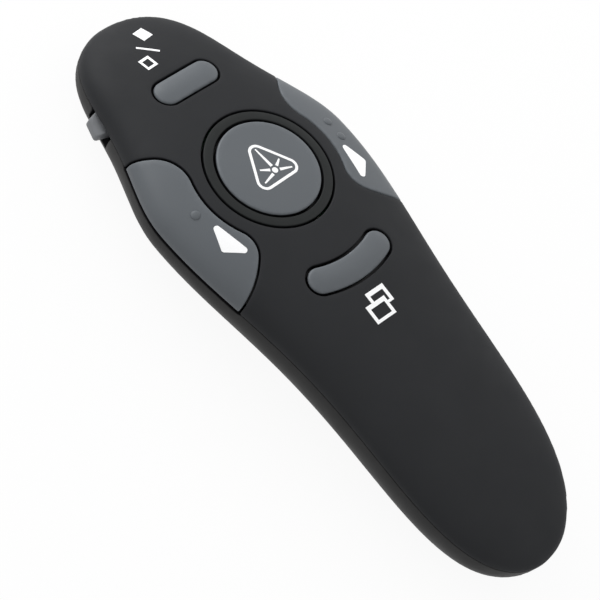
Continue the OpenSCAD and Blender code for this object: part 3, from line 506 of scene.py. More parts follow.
class Solid:
    """Points and faces of a piece while it is being put together, with a flag per face that is 1 where the
    face is coloured near-black as painted shade (sides, undersides and hidden parts, darkening the gaps
    between parts), and a value per point that is 1 on an outer edge, where the colour gets a painted
    highlight with a little wear."""

    def __init__(self, points=(), faces=()):
        self.points = np.reshape(np.asarray(points, float), (-1, 3))
        self.faces = [[int(i) for i in f] for f in faces]
        self.painted_shade = [0.0] * len(self.faces)
        self.edge = np.zeros(len(self.points))

    def add(self, other, painted_shade=None):
        base = len(self.points)
        self.points = np.vstack([self.points, other.points])
        self.faces += [[i + base for i in f] for f in other.faces]
        self.painted_shade += other.painted_shade if painted_shade is None else [painted_shade] * len(other.faces)
        self.edge = np.concatenate([self.edge, other.edge])
        return self

    def moved(self, matrix):
        m = np.array(matrix)
        self.points = self.points @ m[:3, :3].T + m[:3, 3]
        return self


def triangles(loops, spacing=None, holes=(), lines=()):
    """Triangles inside the first of loops and outside the first of each hole, with every loop's edges kept.
    Gives the points and the faces. With a spacing, points are added in between."""
    levels = [level for group in (loops, *holes, *lines) for level in group]
    edges, base = [], 0
    for level in levels:
        n = len(level)
        edges += [(base + i, base + (i + 1) % n) for i in range(n)]
        base += n
    points = list(levels)
    if spacing:
        lo, hi = loops[0].min(0), loops[0].max(0)
        rows = []
        for k in range(int((hi[1] - lo[1]) / (spacing * ROW_PITCH)) + 1):
            x = np.arange(lo[0] + k % 2 * spacing / 2, hi[0], spacing)
            rows.append(np.c_[x, np.full(len(x), lo[1] + k * spacing * ROW_PITCH)])
        grid = np.vstack(rows)
        grid = grid[inside(grid, loops[-1])]
        for hole in holes:
            grid = grid[~inside(grid, hole[-1])]
        for level in levels:
            grid = grid[near(grid, level) > spacing * KEEP_OFF]
        points.append(grid)
    p = np.vstack(points)
    found, source = delaunay_2d_cdt([Vector(q) for q in p], edges, [], 0, MERGE, True)[2:4]
    order = [s[0] if s else -1 for s in source]
    faces = np.array([[order[i] for i in f] for f in found])
    faces = faces[(faces >= 0).all(1)]
    middle = p[faces].mean(1)
    keep = inside(middle, loops[0])
    for hole in holes:
        keep &= ~inside(middle, hole[0])
    faces = faces[keep]
    a, b, c = (p[faces[:, k]] for k in range(3))
    over = cross(b - a, c - a) < 0
    faces[over] = faces[over][:, ::-1]
    return p, faces


def rounding(r):
    """Levels of a rounded edge: how far in from the edge, and how far down."""
    angles = [math.pi / 2 * k / 4 for k in (4, 3, 2, 1, 0)]
    return [(r * (1 - math.sin(a)), r * (1 - math.cos(a))) for a in angles]


def sheet(outer, inner, faces, borders, way=1):
    """A closed sheet from two faces whose points match. A border is where a loop starts and its length."""
    n, faces = len(outer), faces[:, ::way]
    walls = [[a, a + n, b + n, b][::way] for start, length in borders
             for a, b in ((start + i, start + (i + 1) % length) for i in range(length))]
    return Solid(np.vstack([outer, inner]), [*faces, *(faces[:, ::-1] + n), *walls])


def panel(skin, outline, holes=(), dents=(), *, r, depth=WALL, out=0.0, spacing=1.2, grain=EVEN,
          stands=False, swell=0.0):
    """A closed sheet on the body's surface, from unrolled loops; a dent is a loop and a depth. r rounds its
    edges, out lifts its face and swell the middle of it, and stands keeps it above the table. Points are
    spacing apart on its face and grain apart along its edges."""
    levels = rounding(r)
    rims, *cuts = ([shift(even_loop(turned(loop, way), grain), e) for e, _ in levels]
                   for loop, way in [(outline, 1), *((hole, -1) for hole in holes)])
    marks = [[loop, shift(loop, DENT_SLOPE)]
             for loop in (dense_loop(turned(dent, 1), grain) for dent, _ in dents)]
    p, faces = triangles(rims, spacing, cuts, marks)
    down = np.zeros(len(p))
    borders, at = [], 0
    for group in (rims, *cuts):
        borders.append((at, len(group[0])))
        for (_, low), level in zip(levels, group):
            down[at : at + len(level)] = low
            at += len(level)
    for (_, deep), (loop, _) in zip(dents, marks):
        sunk = inside(p, shift(loop, DENT_SLOPE / 2))
        sunk[:at] = False
        down[sunk] = deep
    if swell:
        down -= swell * (1 - (1 - np.minimum(1, near(p, rims[0]) / SWELL_IN)) ** 2)
    outer, _ = skin.lift(p, out - down)
    inner, _ = skin.lift(p, np.full(len(p), out - depth))
    if stands:
        outer[:, 2] = np.maximum(outer[:, 2], 0.0)
        inner[:, 2] = np.maximum(inner[:, 2], STAND_T)
    solid = sheet(outer, inner, faces, borders, skin.way)
    # Walls and the inner face are flagged for near-black painted shade; points near the outer edge get the
    # painted edge highlight, fading over its width.
    solid.painted_shade = [float(k >= len(faces)) for k in range(len(solid.faces))]
    solid.edge[: len(p)] = np.clip(1 - near(p, rims[0]) / RIM_HIGHLIGHT_W, 0, 1)
    return solid


def prism(outline, z0, z1, r):
    """An upright block with its outline in plan and its edges rounded."""
    loop = turned(outline, 1)
    low = [(shift(loop, r - r * math.sin(a)), z0 + r - r * math.cos(a))
           for a in np.linspace(0, math.pi / 2, 4)]
    rows = low + [(level, z0 + z1 - z) for level, z in low[::-1]]
    n = len(loop)
    faces = [[k * n + i, k * n + (i + 1) % n, (k + 1) * n + (i + 1) % n, (k + 1) * n + i]
             for k in range(len(rows) - 1) for i in range(n)]
    for level, base, way in ((rows[0][0], 0, -1), (rows[-1][0], (len(rows) - 1) * n, 1)):
        faces += [(f + base)[::way] for f in triangles([level])[1]]
    return Solid(np.vstack([np.c_[level, np.full(n, z)] for level, z in rows]), faces)


def lathe(profile, count):
    """A closed piece turned about Z. Its profile (r, z) starts and ends on the axis, or closes on itself."""
    rings, index = [], []
    turn = [2 * math.pi * k / count for k in range(count)]
    for r, z in profile:
        if r < TINY:
            index.append([len(rings)] * count)
            rings.append((0, 0, z))
        else:
            index.append(list(range(len(rings), len(rings) + count)))
            rings += [(r * math.cos(a), r * math.sin(a), z) for a in turn]
    on_axis = profile[0][0] < TINY and profile[-1][0] < TINY
    faces = []
    for a, b in zip(index, index[1:] + ([] if on_axis else index[:1])):
        for k in range(count):
            f = [a[k], a[(k + 1) % count], b[(k + 1) % count], b[k]]
            faces.append([v for j, v in enumerate(f) if v != f[j - 1]])
    return Solid(rings, faces)


def placed(x, y, z, rx=0.0, rz=0.0):
    """Turned by rx about X, then by rz about Z, then moved."""
    return Matrix.Translation((x, y, z)) @ Matrix.Rotation(rz, 4, "Z") @ Matrix.Rotation(rx, 4, "X")


def tipped(axes):
    """A turn that sends X, Y and Z to the axes in a word such as YZX."""
    return Matrix([[float(axis == to) for axis in axes] for to in "XYZ"]).to_4x4()


def printed(marks, out=0.0, spacing=None, grain=0.25):
    """Thin ink on the top. Each mark is its outline and its holes, in plan."""
    ink = Solid()
    for mark in marks:
        loops = [turned(TOP.flat(dense_loop(loop, grain)), -1 if k else 1) for k, loop in enumerate(mark)]
        p, faces = triangles(loops[:1], spacing, [[loop] for loop in loops[1:]])
        outer, _ = TOP.lift(p, out + INK_PROUD)
        inner, _ = TOP.lift(p, out - INK_SUNK)
        borders = [(sum(len(before) for before in loops[:k]), len(loop)) for k, loop in enumerate(loops)]
        ink.add(sheet(outer, inner, faces, borders))
    return ink


# --- Materials ---


class Signal:
    """A value or colour on its way through the nodes."""

    def __init__(self, nodes, socket):
        self.nodes, self.socket = nodes, socket

    def _math(self, operation, a, b):
        return self.nodes.node("ShaderNodeMath", {"operation": operation}, {0: a, 1: b})

    def __add__(self, other):
        return self._math("ADD", self, other)

    __radd__ = __add__

    def __rsub__(self, other):
        return self._math("SUBTRACT", other, self)

    def __mul__(self, other):
        return self._math("MULTIPLY", self, other)


class Nodes:
    """The nodes of a material or of the world."""

    def __init__(self, tree):
        self.tree = tree

    def put(self, socket, value):
        """Link a signal to a socket, or set it; a colour of three values gets a full alpha."""
        if isinstance(value, Signal):
            self.tree.links.new(value.socket, socket)
        elif socket.type == "RGBA":
            socket.default_value = (*value, 1)
        else:
            socket.default_value = value

    def node(self, kind, settings=None, values=None, out=0):
        n = self.tree.nodes.new(kind)
        for key, value in (settings or {}).items():
            setattr(n, key, value)
        for key, value in (values or {}).items():
            self.put(n.inputs[key], value)
        return Signal(self, n.outputs[out])

    def between(self, value, low, high, to_low=0.0, to_high=1.0):
        """A value from low to high spread over to_low to to_high."""
        return self.node("ShaderNodeMapRange", {"clamp": True},
                         {0: value, 1: low, 2: high, 3: to_low, 4: to_high})

    def mix(self, share, a, b):
        """Colour a to colour b."""
        return self.node("ShaderNodeMix", {"data_type": "RGBA"}, {0: share, 6: a, 7: b}, 2)

    def seen(self):
        """1 where the camera, a reflection or a clear piece looks on, 0 where light only bounces."""
        camera, glossy, clear = (self.node("ShaderNodeLightPath", out=ray) for ray in
                                 ("Is Camera Ray", "Is Glossy Ray", "Is Transmission Ray"))
        return self.between(camera + glossy + clear, 0.0, 1.0)


class Finish(Nodes):
    """A material and the nodes that feed its shader. place is the point on the piece, in millimetres."""

    def __init__(self, name, rough, metal=0.0, coat=0.0, ior=1.5, specular=0.5):
        self.material = bpy.data.materials.new(name)
        self.material.use_nodes = True
        super().__init__(self.material.node_tree)
        self.shader = self.tree.nodes["Principled BSDF"]
        for key, value in (("Roughness", rough), ("Metallic", metal), ("Coat Weight", coat),
                           ("Coat Roughness", 0.1), ("IOR", ior), ("Specular IOR Level", specular)):
            self.feed(key, value)
        self.place = self.node("ShaderNodeVectorMath", {"operation": "SCALE"},
                               {0: self.node("ShaderNodeTexCoord", out="Object"), "Scale": 1000.0})

    def feed(self, key, value):
        self.put(self.shader.inputs[key], value)

    def bump(self, height, strength, distance):
        """Bump from a height signal; distance in millimetres."""
        self.feed("Normal", self.node("ShaderNodeBump", None, {
            "Strength": strength, "Distance": distance / 1000, "Height": height}))

    def drift_gloss(self, signal, rough, spread):
        """Roughness that follows a signal about its mean."""
        self.feed("Roughness", self.between(signal, 0.3, 0.7, rough - spread, rough + spread))

    def noise(self, scale, detail=2.0, rough=0.5, place=None):
        """Noise from 0 to 1; scale is in features per millimetre."""
        return self.node("ShaderNodeTexNoise", None, {
            "Vector": place or self.place, "Scale": scale, "Detail": detail, "Roughness": rough})

    def field(self, name):
        """A value that the piece's mesh carries."""
        return self.node("ShaderNodeAttribute", {"attribute_name": name}, None, "Fac")


def linear(*rgb):
    """A screen colour (11-255) as linear light."""
    return tuple(((c / 255 + 0.055) / 1.055) ** 2.4 for c in rgb)


def scaled(colour, share):
    return tuple(c * share for c in colour)


# Near-black painted shade for the sides of shells and keys, which darkens the gaps between parts.
PAINTED_GAP_SHADE = (0.007, 0.007, 0.008)


def moulded(name, colour, rough, spread, grain, depth, strength, specular=0.5, wear_and_sheen=None):
    """Moulded plastic: a fine grain, and slight drifts of tone and gloss. With the edge share given, its
    outer edges get a painted highlight, broken up by patchy wear, and its sides, undersides and hidden parts
    are coloured near-black as painted shade in the gaps between parts."""
    f = Finish(name, rough, specular=specular)
    drift = f.noise(0.06, 3.0)
    speck = f.noise(grain * 1.7, 2.0, 0.6)
    tone = f.mix(f.between(drift * 0.6 + speck * 0.4, 0.3, 0.7), scaled(colour, 1 - spread),
                 scaled(colour, 1 + spread))
    if wear_and_sheen is not None:
        # Painted highlight: the outer edges are lightened, broken up in patches like wear.
        rim_highlight_and_wear = f.field("edge") * f.between(f.noise(0.7, 2.0), 0.35, 0.65, 0.4, 1.0) * wear_and_sheen
        tone = f.mix(rim_highlight_and_wear, tone, scaled(colour, 1.6))
        # Painted shade: flagged sides and hidden faces turn near-black, darkening the gaps between parts.
        tone = f.mix(f.field("painted_shade"), tone, PAINTED_GAP_SHADE)
    f.feed("Base Color", tone)
    f.drift_gloss(f.noise(0.15, 4.0, 0.6), rough, 0.05)
    f.bump(f.noise(grain, 3.0, 0.65), strength, depth)
    return f.material


def drawn_metal(name, colour, rough, along):
    """Sheet metal with faint drawing lines along one axis."""
    f = Finish(name, rough, metal=1.0)
    stretch = tuple(0.05 if axis == along else 2 for axis in "XYZ")
    place = f.node("ShaderNodeVectorMath", {"operation": "MULTIPLY"}, {0: f.place, 1: stretch})
    lines = f.noise(2.0, 4.0, 0.6, place)
    f.feed("Base Color", f.mix(lines, scaled(colour, 0.86), scaled(colour, 1.08)))
    f.drift_gloss(lines, rough, 0.07)
    f.bump(lines, 0.2, 0.01)
    return f.material


def solder_mask():
    """Green board with faint copper tracks under its mask, and tinned dots."""
    f = Finish("solder_mask", 0.35, coat=0.3)
    tracks = f.node("ShaderNodeTexBrick", None, {
        "Vector": f.place, "Scale": 0.5, "Mortar Size": 0.06, "Brick Width": 1.3, "Row Height": 0.7}, "Fac")
    spots = f.node("ShaderNodeTexVoronoi", None, {"Vector": f.place, "Scale": 0.3})
    dots = f.between(spots, 0.16, 0.2, 1.0, 0.0)
    mask = f.mix(tracks * 0.5, (0.008, 0.09, 0.03), (0.02, 0.17, 0.06))
    f.feed("Base Color", f.mix(dots, mask, (0.62, 0.6, 0.5)))
    f.feed("Metallic", dots)
    f.bump(tracks, 0.3, 0.03)
    return f.material


def cell_sleeve():
    """Printed sleeve of a dry cell: dark, and bright metal at both ends."""
    f = Finish("cell_sleeve", 0.34, metal=0.1, coat=0.2)
    y = f.node("ShaderNodeSeparateXYZ", None, {0: f.place}, "Y")
    nose_end, tail_end = f.between(y, *SLEEVE_NOSE), f.between(y, *SLEEVE_TAIL, 1.0, 0.0)
    wear_and_sheen = f.noise(0.8, 3.0)
    dark, metal = f.mix(wear_and_sheen, (0.018, 0.019, 0.021), (0.03, 0.032, 0.035)), (0.42, 0.43, 0.44)
    f.feed("Base Color", f.mix(tail_end, f.mix(nose_end, dark, metal), metal))
    f.drift_gloss(wear_and_sheen, 0.34, 0.04)
    f.bump(f.noise(1.5, 2.0), 0.06, 0.004)
    return f.material


def clear_lens():
    f = Finish("clear_lens", 0.03, coat=0.6, ior=1.49)
    f.feed("Transmission Weight", 0.85)
    f.feed("Base Color", f.mix(f.noise(0.4), (0.78, 0.84, 0.9), (0.86, 0.9, 0.94)))
    return f.material


def white_ink():
    f = Finish("white_ink", 0.5)
    f.feed("Base Color", f.mix(f.noise(4.0, 3.0), linear(246, 247, 248), linear(254, 254, 254)))
    f.bump(f.noise(6.0, 2.0), 0.15, 0.006)
    return f.material


# name, colour, roughness, spread of tone, grains per mm, depth and strength of the grain, specular, share of
# the painted edge highlight with wear (which also brings the near-black painted shade on hidden sides)
shell_finish = moulded("soft_touch_charcoal", linear(39, 40, 42), 0.58, 0.08, 3.2, 0.010, 0.3, 0.12, 0.15)
back_finish = moulded("soft_touch_charcoal_back", linear(40, 40, 40), 0.5, 0.08, 3.2, 0.010, 0.3, 0.12, 0.9)
ring_finish = moulded("ring_satin", linear(34, 36, 36), 0.5, 0.06, 4.0, 0.008, 0.25, 0.12, 0.3)
key_finish = moulded("key_satin_grey", linear(91, 95, 99), 0.42, 0.05, 4.0, 0.008, 0.25, 0.2, 0.75)
knob_finish = moulded("knob_grey", linear(112, 114, 117), 0.45, 0.05, 4.0, 0.008, 0.25, 0.3)
tray_finish = moulded("tray_dark", linear(60, 62, 62), 0.34, 0.06, 2.0, 0.010, 0.2)
latch_finish = moulded("latch_light", linear(140, 140, 130), 0.34, 0.05, 3.0, 0.008, 0.2)
ivory_finish = moulded("ivory_plastic", (0.72, 0.70, 0.62), 0.45, 0.04, 3.0, 0.006, 0.2)
black_finish = moulded("black_plastic", (0.012, 0.012, 0.013), 0.4, 0.2, 3.0, 0.008, 0.25)
ink_finish = white_ink()
board_finish = solder_mask()
can_finish = drawn_metal("can_steel", (0.62, 0.62, 0.61), 0.34, "X")
plug_finish = drawn_metal("plug_steel", (0.66, 0.66, 0.66), 0.28, "Y")
contact_finish = drawn_metal("nickel_contact", (0.7, 0.69, 0.66), 0.3, "Z")
screw_finish = drawn_metal("screw_steel", (0.42, 0.42, 0.43), 0.38, "X")
brass_finish = drawn_metal("turned_brass", (0.72, 0.54, 0.24), 0.3, "X")
sleeve_finish = cell_sleeve()
lens_finish = clear_lens()

# --- Top shell and trim ring ---
page_opening = page_path(0.0, 0.0)
rear_y, front_y = ends_y(page_opening)
right_side = np.vstack([seam_run(TOP, -HALF_L, rear_y, 1, 0, 260)[:-1], page_opening,
                        seam_run(TOP, front_y, HALF_L, 1, 0, 120)[1:]])
top_outline = round_corners(np.vstack([right_side[:-1], mirrored(right_side)[:-1]]), 0.2)
top = panel(TOP, top_outline, [ring_loop(RING_HOLE_R), blank_loop(BLANK_OPEN), window_loop(WINDOW_OPEN)],
            r=0.22, spacing=0.8)
for x, y, foot in POSTS:
    head = float(top_z(x, y, WALL / 2))
    post = lathe([(POST_BORE_R, foot), (POST_R, foot), (POST_R, head), (0.0, head), (0.0, foot + POST_BORE_L),
                  (POST_BORE_R, foot + POST_BORE_L)], 32)
    top.add(post.moved(placed(x, y, 0)), 1.0)
new_piece("top_shell_skin", top, shell_finish, "housing", "top_shell")

ring = panel(TOP, ring_loop(RING_R), [ring_loop(RING_INNER_R)], r=0.2, depth=RING_T, spacing=0.9, grain=0.4)
new_piece("button_ring_face", ring, ring_finish, "housing", "button_ring")

# --- Keys ---


def key_solid(loop, rim, switch, proud=0.0, r=KEY_EDGE_R, under=WALL + KEY_PLAY, swell=0.0):
    """A key with rounded edges, the rim under it that keeps it in, and the post to its switch."""
    solid = panel(TOP, loop, r=r, depth=under + KEY_RIM_T / 2 + proud, out=proud, spacing=0.8, grain=FINE,
                  swell=swell)
    # The rim and the post are flagged for the near-black painted shade.
    solid.add(panel(TOP, rim, r=KEY_RIM_R, depth=KEY_RIM_T, out=-under, spacing=1.5, grain=0.5), 1.0)
    head = float(top_z(*switch, 1.0))
    post = lathe([(0, KEY_POST_FOOT), (KEY_POST_R, KEY_POST_FOOT), (KEY_POST_R, head), (0, head)], 32)
    return solid.add(post.moved(placed(*switch, 0)), 1.0)


laser_key = key_solid(ring_loop(RING_INNER_R - LASER_KEY_GAP), ring_loop(RING_INNER_R + KEY_RIM), RING_MIDDLE,
                      LASER_KEY_PROUD, under=RING_T + KEY_PLAY)
new_piece("laser_button_cap", laser_key, key_finish, "laser_key", "laser_button")
for name, loop, switch_y in (("blank_screen", blank_loop, BLANK_SWITCH_Y),
                             ("window", window_loop, WINDOW_SWITCH_Y)):
    key = key_solid(loop(-KEY_GAP), loop(KEY_RIM), (0, switch_y), SHORT_PROUD, swell=SHORT_SWELL)
    new_piece(name + "_button_cap", key, key_finish, name + "_key", name + "_button")

for name, side, gap, dots in (("page_back", -1, KEY_GAP, [22.7]),
                              ("page_forward", 1, FORWARD_KEY_GAP, [20.8, 24.6])):
    face = page_loop(-gap, PAGE_SEAM_GAP) * [side, 1]
    rim = page_loop(KEY_RIM, RIM_SEAM_GAP) * [side, 1]
    key = key_solid(face, rim, (side * PAGE_SWITCH[0], PAGE_SWITCH[1]), r=PAGE_EDGE_R)
    for y in dots:
        at, normal = TOP.lift(TOP.flat([(side * DOT_X, y)]))
        dome = lathe([(0, -0.6), (0.95, -0.6), (0.95, -0.02), (0.9, 0.08), (0.76, 0.17), (0.5, 0.25),
                      (0.25, 0.29), (0, 0.3)], 28)
        upright = Vector((0, 0, 1)).rotation_difference(Vector(normal[0])).to_matrix().to_4x4()
        key.add(dome.moved(Matrix.Translation(Vector(at[0])) @ upright))
    new_piece(name + "_cap", key, key_finish, name + "_key", name + "_button")

# --- Printed marks ---


def square(cx, cy, side, turn):
    """A square about a point, turned by some degrees."""
    h = side / 2
    c, s = toward(turn)
    return np.array([(h, h), (-h, h), (-h, -h), (h, -h)]) @ np.array([[c, s], [-s, c]]) + [cx, cy]


def stroke(p0, p1, w0, w1):
    """A straight bar from p0 to p1, of width w0 at p0 and w1 at p1."""
    p0, p1 = np.array(p0, float), np.array(p1, float)
    d = (p1 - p0) / np.linalg.norm(p1 - p0)
    n = np.array([-d[1], d[0]])
    return np.vstack([p0 + n * w0 / 2, p0 - n * w0 / 2, p1 - n * w1 / 2, p1 + n * w1 / 2])


def soft_triangle(centres, r):
    """Outline round three circles of radius r."""
    c = turned(np.array(centres, float), 1)
    out = []
    for i in range(3):
        a, b = c[i] - c[i - 1], c[(i + 1) % 3] - c[i]
        a0, a1 = (math.degrees(math.atan2(-v[0], v[1])) for v in (a, b))
        out.append(arc(c[i], r, a0, a0 + (a1 - a0) % 360, 12))
    return np.vstack(out)


screen_on = [square(2.1, 58.75, 2.62, 6)]
slash = [stroke((-1.75, 56.85), (1.36, 53.77), 0.45, 0.45)]
screen_off = [square(-2.75, 52.8, 2.64, 3), square(-2.77, 52.77, 1.6, 3)]
two_windows = [np.array(loop) for loop in (
    [(-2.27, -6.95), (-2.27, -9.0), (-3.98, -9.0), (-3.98, -12.84), (1.12, -12.84), (1.12, -10.65),
     (2.51, -10.65), (2.51, -6.95)],
    [(-1.56, -7.84), (-1.56, -9.0), (1.12, -9.0), (1.12, -10.13), (1.75, -10.13), (1.75, -7.84)],
    [(-3.24, -9.89), (-3.24, -12.24), (0.4, -12.24), (0.4, -9.89)])]
signs = printed([screen_on, slash, screen_off, two_windows])
new_piece("shell_marks", signs, ink_finish, "housing", None)

burst_frame = [(-0.02, 26.25), (3.45, 20.83), (-3.2, 20.68)]
rays = [((0.15, 27.0), (0.38, 22.6), 0.66), ((2.8, 23.05), (1.28, 22.15), 0.62),
        ((3.85, 20.4), (1.32, 21.25), 0.62), ((-2.35, 23.1), (-0.52, 22.1), 0.62),
        ((-3.45, 20.45), (-0.57, 21.15), 0.62)]
burst = printed([[soft_triangle(burst_frame, 1.75), soft_triangle(burst_frame, 1.2)],
                 [arc((0.33, 21.6), 0.6, 0, 350, 35)],
                 *([stroke(tip, root, 0.28, width)] for tip, root, width in rays)],
                out=LASER_KEY_PROUD, grain=0.15)
new_piece("laser_mark", burst, ink_finish, "laser_key", None)

page_arrow = soft_triangle([(17.55, 18.35), (16.22, 12.3), (18.95, 14.5)], 0.62)
for name, side, body in (("right", 1, "page_forward_key"), ("left", -1, "page_back_key")):
    arrow = printed([[page_arrow * [side, 1]]], spacing=0.6)
    new_piece("page_arrow_" + name, arrow, ink_finish, body, None)

# --- Back shell and battery cover ---


def cover_outline(grow, cut_y):
    """Battery cover in plan, with the cut for its latch at the nose end."""
    tail, nose, r = -(HALF_L - COVER_RIM + grow), COVER_NOSE_Y + grow, COVER_NOSE_R + grow
    y = (tail + nose) / 2 - (nose - tail) / 2 * np.cos(np.linspace(0, math.pi, 241))
    bend = np.where(y > COVER_BEND_Y, np.sqrt(np.maximum(0, r * r - (y - COVER_BEND_Y) ** 2)), r)
    side = np.c_[np.minimum(half_w(y, COVER_RIM - grow), bend), y]
    half = CUT_HALF_W
    corner_y = COVER_BEND_Y + math.sqrt(r * r - half * half)
    side = np.vstack([side[side[:, 1] < corner_y], [(half, corner_y), (half, cut_y), (0, cut_y)]])
    return even_loop(np.vstack([side, mirrored(side)[1:-1]]), FINE)


def nose_hole(z, r):
    """A round hole through the nose, along Y, on the unrolled underside."""
    plan = []
    for a in np.radians(np.arange(0, 360, 6)):
        x, height = r * math.cos(a), z + r * math.sin(a)
        plan.append((x, last_good(60.0, HALF_L - TOUCH, lambda y: under_z(x, y) < height)))
    return UNDER.flat(plan)


def slot_floor(y):
    """The floor of the knob's slot on the unrolled underside."""
    share = np.linspace(0.5, 1, 200)
    along, width = float(np.interp(y, UNDER.y, UNDER.along)), float(UNDER.seam(y))
    p, _ = UNDER.lift(np.c_[share * width, np.full(200, along)])
    return -float(np.interp(KNOB_Z0 - SLOT_BELOW, p[:, 2], share * width)), along


slot_y0, slot_y1 = (KNOB_Y + way * SLOT_HALF_L * math.cos(KNOB_ANGLE) for way in (-1, 1))
slot_run = np.array([slot_floor(y) for y in np.linspace(slot_y1, slot_y0, 20)])
right_edge = seam_run(UNDER, -HALF_L, HALF_L, 1, relief, 420)
left_edge = np.vstack([seam_run(UNDER, slot_y1, HALF_L, -1, relief, 90)[::-1], slot_run,
                       seam_run(UNDER, -HALF_L, slot_y0, -1, relief, 330)[::-1]])
under_outline = round_corners(np.vstack([right_edge[:-1], left_edge[:-1]]), 0.35)
bay = even_loop(round_corners(cover_outline(0, BAY_CUT_Y), 0.4), FINE)
back = panel(UNDER, under_outline, [UNDER.flat(bay), nose_hole(BARREL_Z, NOSE_HOLE_R)], r=0.15, stands=True)
for y in CRADLES_Y:
    foot = float(under_z(0, y + CRADLE_T / 2, WALL / 2))
    left_half = [(-BARREL_SEAT_R, BARREL_Z), (-CRADLE_HALF_W, BARREL_Z), (-CRADLE_HALF_W, foot)]
    cradle = np.vstack([[(-x, z) for x, z in left_half[::-1]],
                        arc((0, BARREL_Z), BARREL_SEAT_R, 0, -180, 24)[1:-1], left_half])
    back.add(prism(cradle[::-1], 0, CRADLE_T, 0.05).moved(placed(0, y + CRADLE_T, 0, rx=math.pi / 2)), 1.0)
new_piece("back_shell_skin", back, back_finish, "housing", "back_shell")

grip_bars = [np.array([(-MARK_HALF_W, y), (MARK_HALF_W, y), (MARK_HALF_W, y + MARK_BAR),
                       (-MARK_HALF_W, y + MARK_BAR)]) for y in MARK_BARS_Y]
dents = [(UNDER.flat(dense_loop(loop, FINE)), MARK_DEPTH) for loop in [*grip_bars, np.array(MARK_ARROW)]]
cover_edge = even_loop(round_corners(cover_outline(-COVER_GAP, COVER_CUT_Y), 0.3), FINE)
cover = panel(UNDER, UNDER.flat(cover_edge), dents=dents, r=0.3, stands=True)
tongue_z = float(under_z(0, sum(TONGUE[2:]) / 2, WALL / 2))
cover.add(prism(rounded_rect(*TONGUE, 0.2), tongue_z, TONGUE_TOP, 0.1), 1.0)
new_piece("battery_cover_skin", cover, back_finish, "cover", "battery_cover")

# --- Knob and bezel ---
knob_plan = dense_loop(np.array(KNOB_PLAN), 0.1)
knob = prism(even_loop(round_corners(knob_plan, 0.7), 0.2), KNOB_Z0 - KNOB_LOW, KNOB_Z1, 0.3)
slope = np.clip((SLOPE_X - knob.points[:, 0]) / SLOPE_RUN, 0, 1) * (knob.points[:, 2] > SLOPE_Z)
knob.points[:, 2] -= slope**1.5 * SLOPE_DROP
knob.add(prism(rounded_rect(*KNOB_FLANGE, 0.15), KNOB_Z0, KNOB_Z1, 0.1))
knob.moved(placed(-float(half_w(KNOB_Y)), KNOB_Y, 0, rz=-KNOB_ANGLE))
new_piece("power_knob_cap", knob, knob_finish, "power_slider", "power_knob")

bezel = lathe([(BEZEL_BORE_R, 0), (BEZEL_R, 0), (BEZEL_R, BEZEL_L - 0.15), (1.6, BEZEL_L), (1.4, BEZEL_L),
               (BEZEL_BORE_R, 3.6)], 48)
bezel.moved(placed(0, BEZEL_Y, BARREL_Z, rx=-math.pi / 2))
new_piece("laser_bezel_ring", bezel, black_finish, "housing", "laser_bezel")

# --- Latch, cell and receiver ---
tang_z = float(under_z(0, TANG[2], WALL)) + TANG_LIFT
foot = float(under_z(0, LATCH_Y1)) + 0.1
bend_at = (LATCH_Y1 - LATCH_R, tang_z + LATCH_LEG - LATCH_R)
bend = np.vstack([arc(bend_at, LATCH_R, 0, 180, 20), [(LATCH_Y0, foot), (LATCH_Y0 + LATCH_T, foot)],
                  arc(bend_at, LATCH_R - LATCH_T, 180, 0, 20),
                  [(LATCH_Y1 - LATCH_T, foot), (LATCH_Y1, foot)]])
latch = prism(even_loop(bend, 0.2), -LATCH_HALF_W, LATCH_HALF_W, 0.15).moved(tipped("YZX"))
latch.add(prism(rounded_rect(*TANG, 0.3), tang_z, tang_z + LATCH_T, 0.12))
new_piece("cover_latch_spring", latch, latch_finish, "latch", "cover_latch")

cell = lathe([(0, -22.25), (4.3, -22.25), (4.45, -22.1), (4.9, -22.1), (5.1, -22.0), (CELL_R, -21.8),
              (CELL_R, 20.55), (5.18, 20.8), (5.0, 20.95), (4.6, 21.0), (4.3, 20.85), (3.2, 20.85),
              (2.9, 21.25), (0, 21.25)], 64)
cell.moved(placed(*CELL_AT, rx=BAY_TILT) @ Matrix.Rotation(-math.pi / 2, 4, "X"))
new_piece("aaa_cell_sleeve", cell, sleeve_finish, "cell", "aaa_cell")

right_ribs = [(GRIP_HALF_W, 0.0)]
for k in range(1, GRIP_RIBS + 1):
    y = -GRIP_PITCH * k
    right_ribs += [(GRIP_HALF_W - deep, y + up) for deep, up in (
        (0, 0.3), (0.15, 0.25), (GROOVE_DEPTH, 0.15), (GROOVE_DEPTH, -0.15), (0.15, -0.25), (0, -0.3))]
right_ribs = np.array(right_ribs + [(GRIP_HALF_W, -GRIP_L)])
left_ribs = mirrored(right_ribs)
grip_plan = np.vstack([left_ribs[-1:], right_ribs, left_ribs[:-1]])
grip = prism(round_corners(grip_plan[::-1], 0.35, 60), -GRIP_HALF_T, GRIP_HALF_T, 0.3)
grip.moved(tipped("ZYX"))
grip.moved(placed(RECEIVER_X, RECEIVER_Y, RECEIVER_Z + RECEIVER_HALF_L * math.sin(BAY_TILT), rx=BAY_TILT))
grip.faces = [f[::-1] for f in grip.faces]
new_piece("receiver_grip_body", grip, back_finish, "receiver", "receiver_grip")

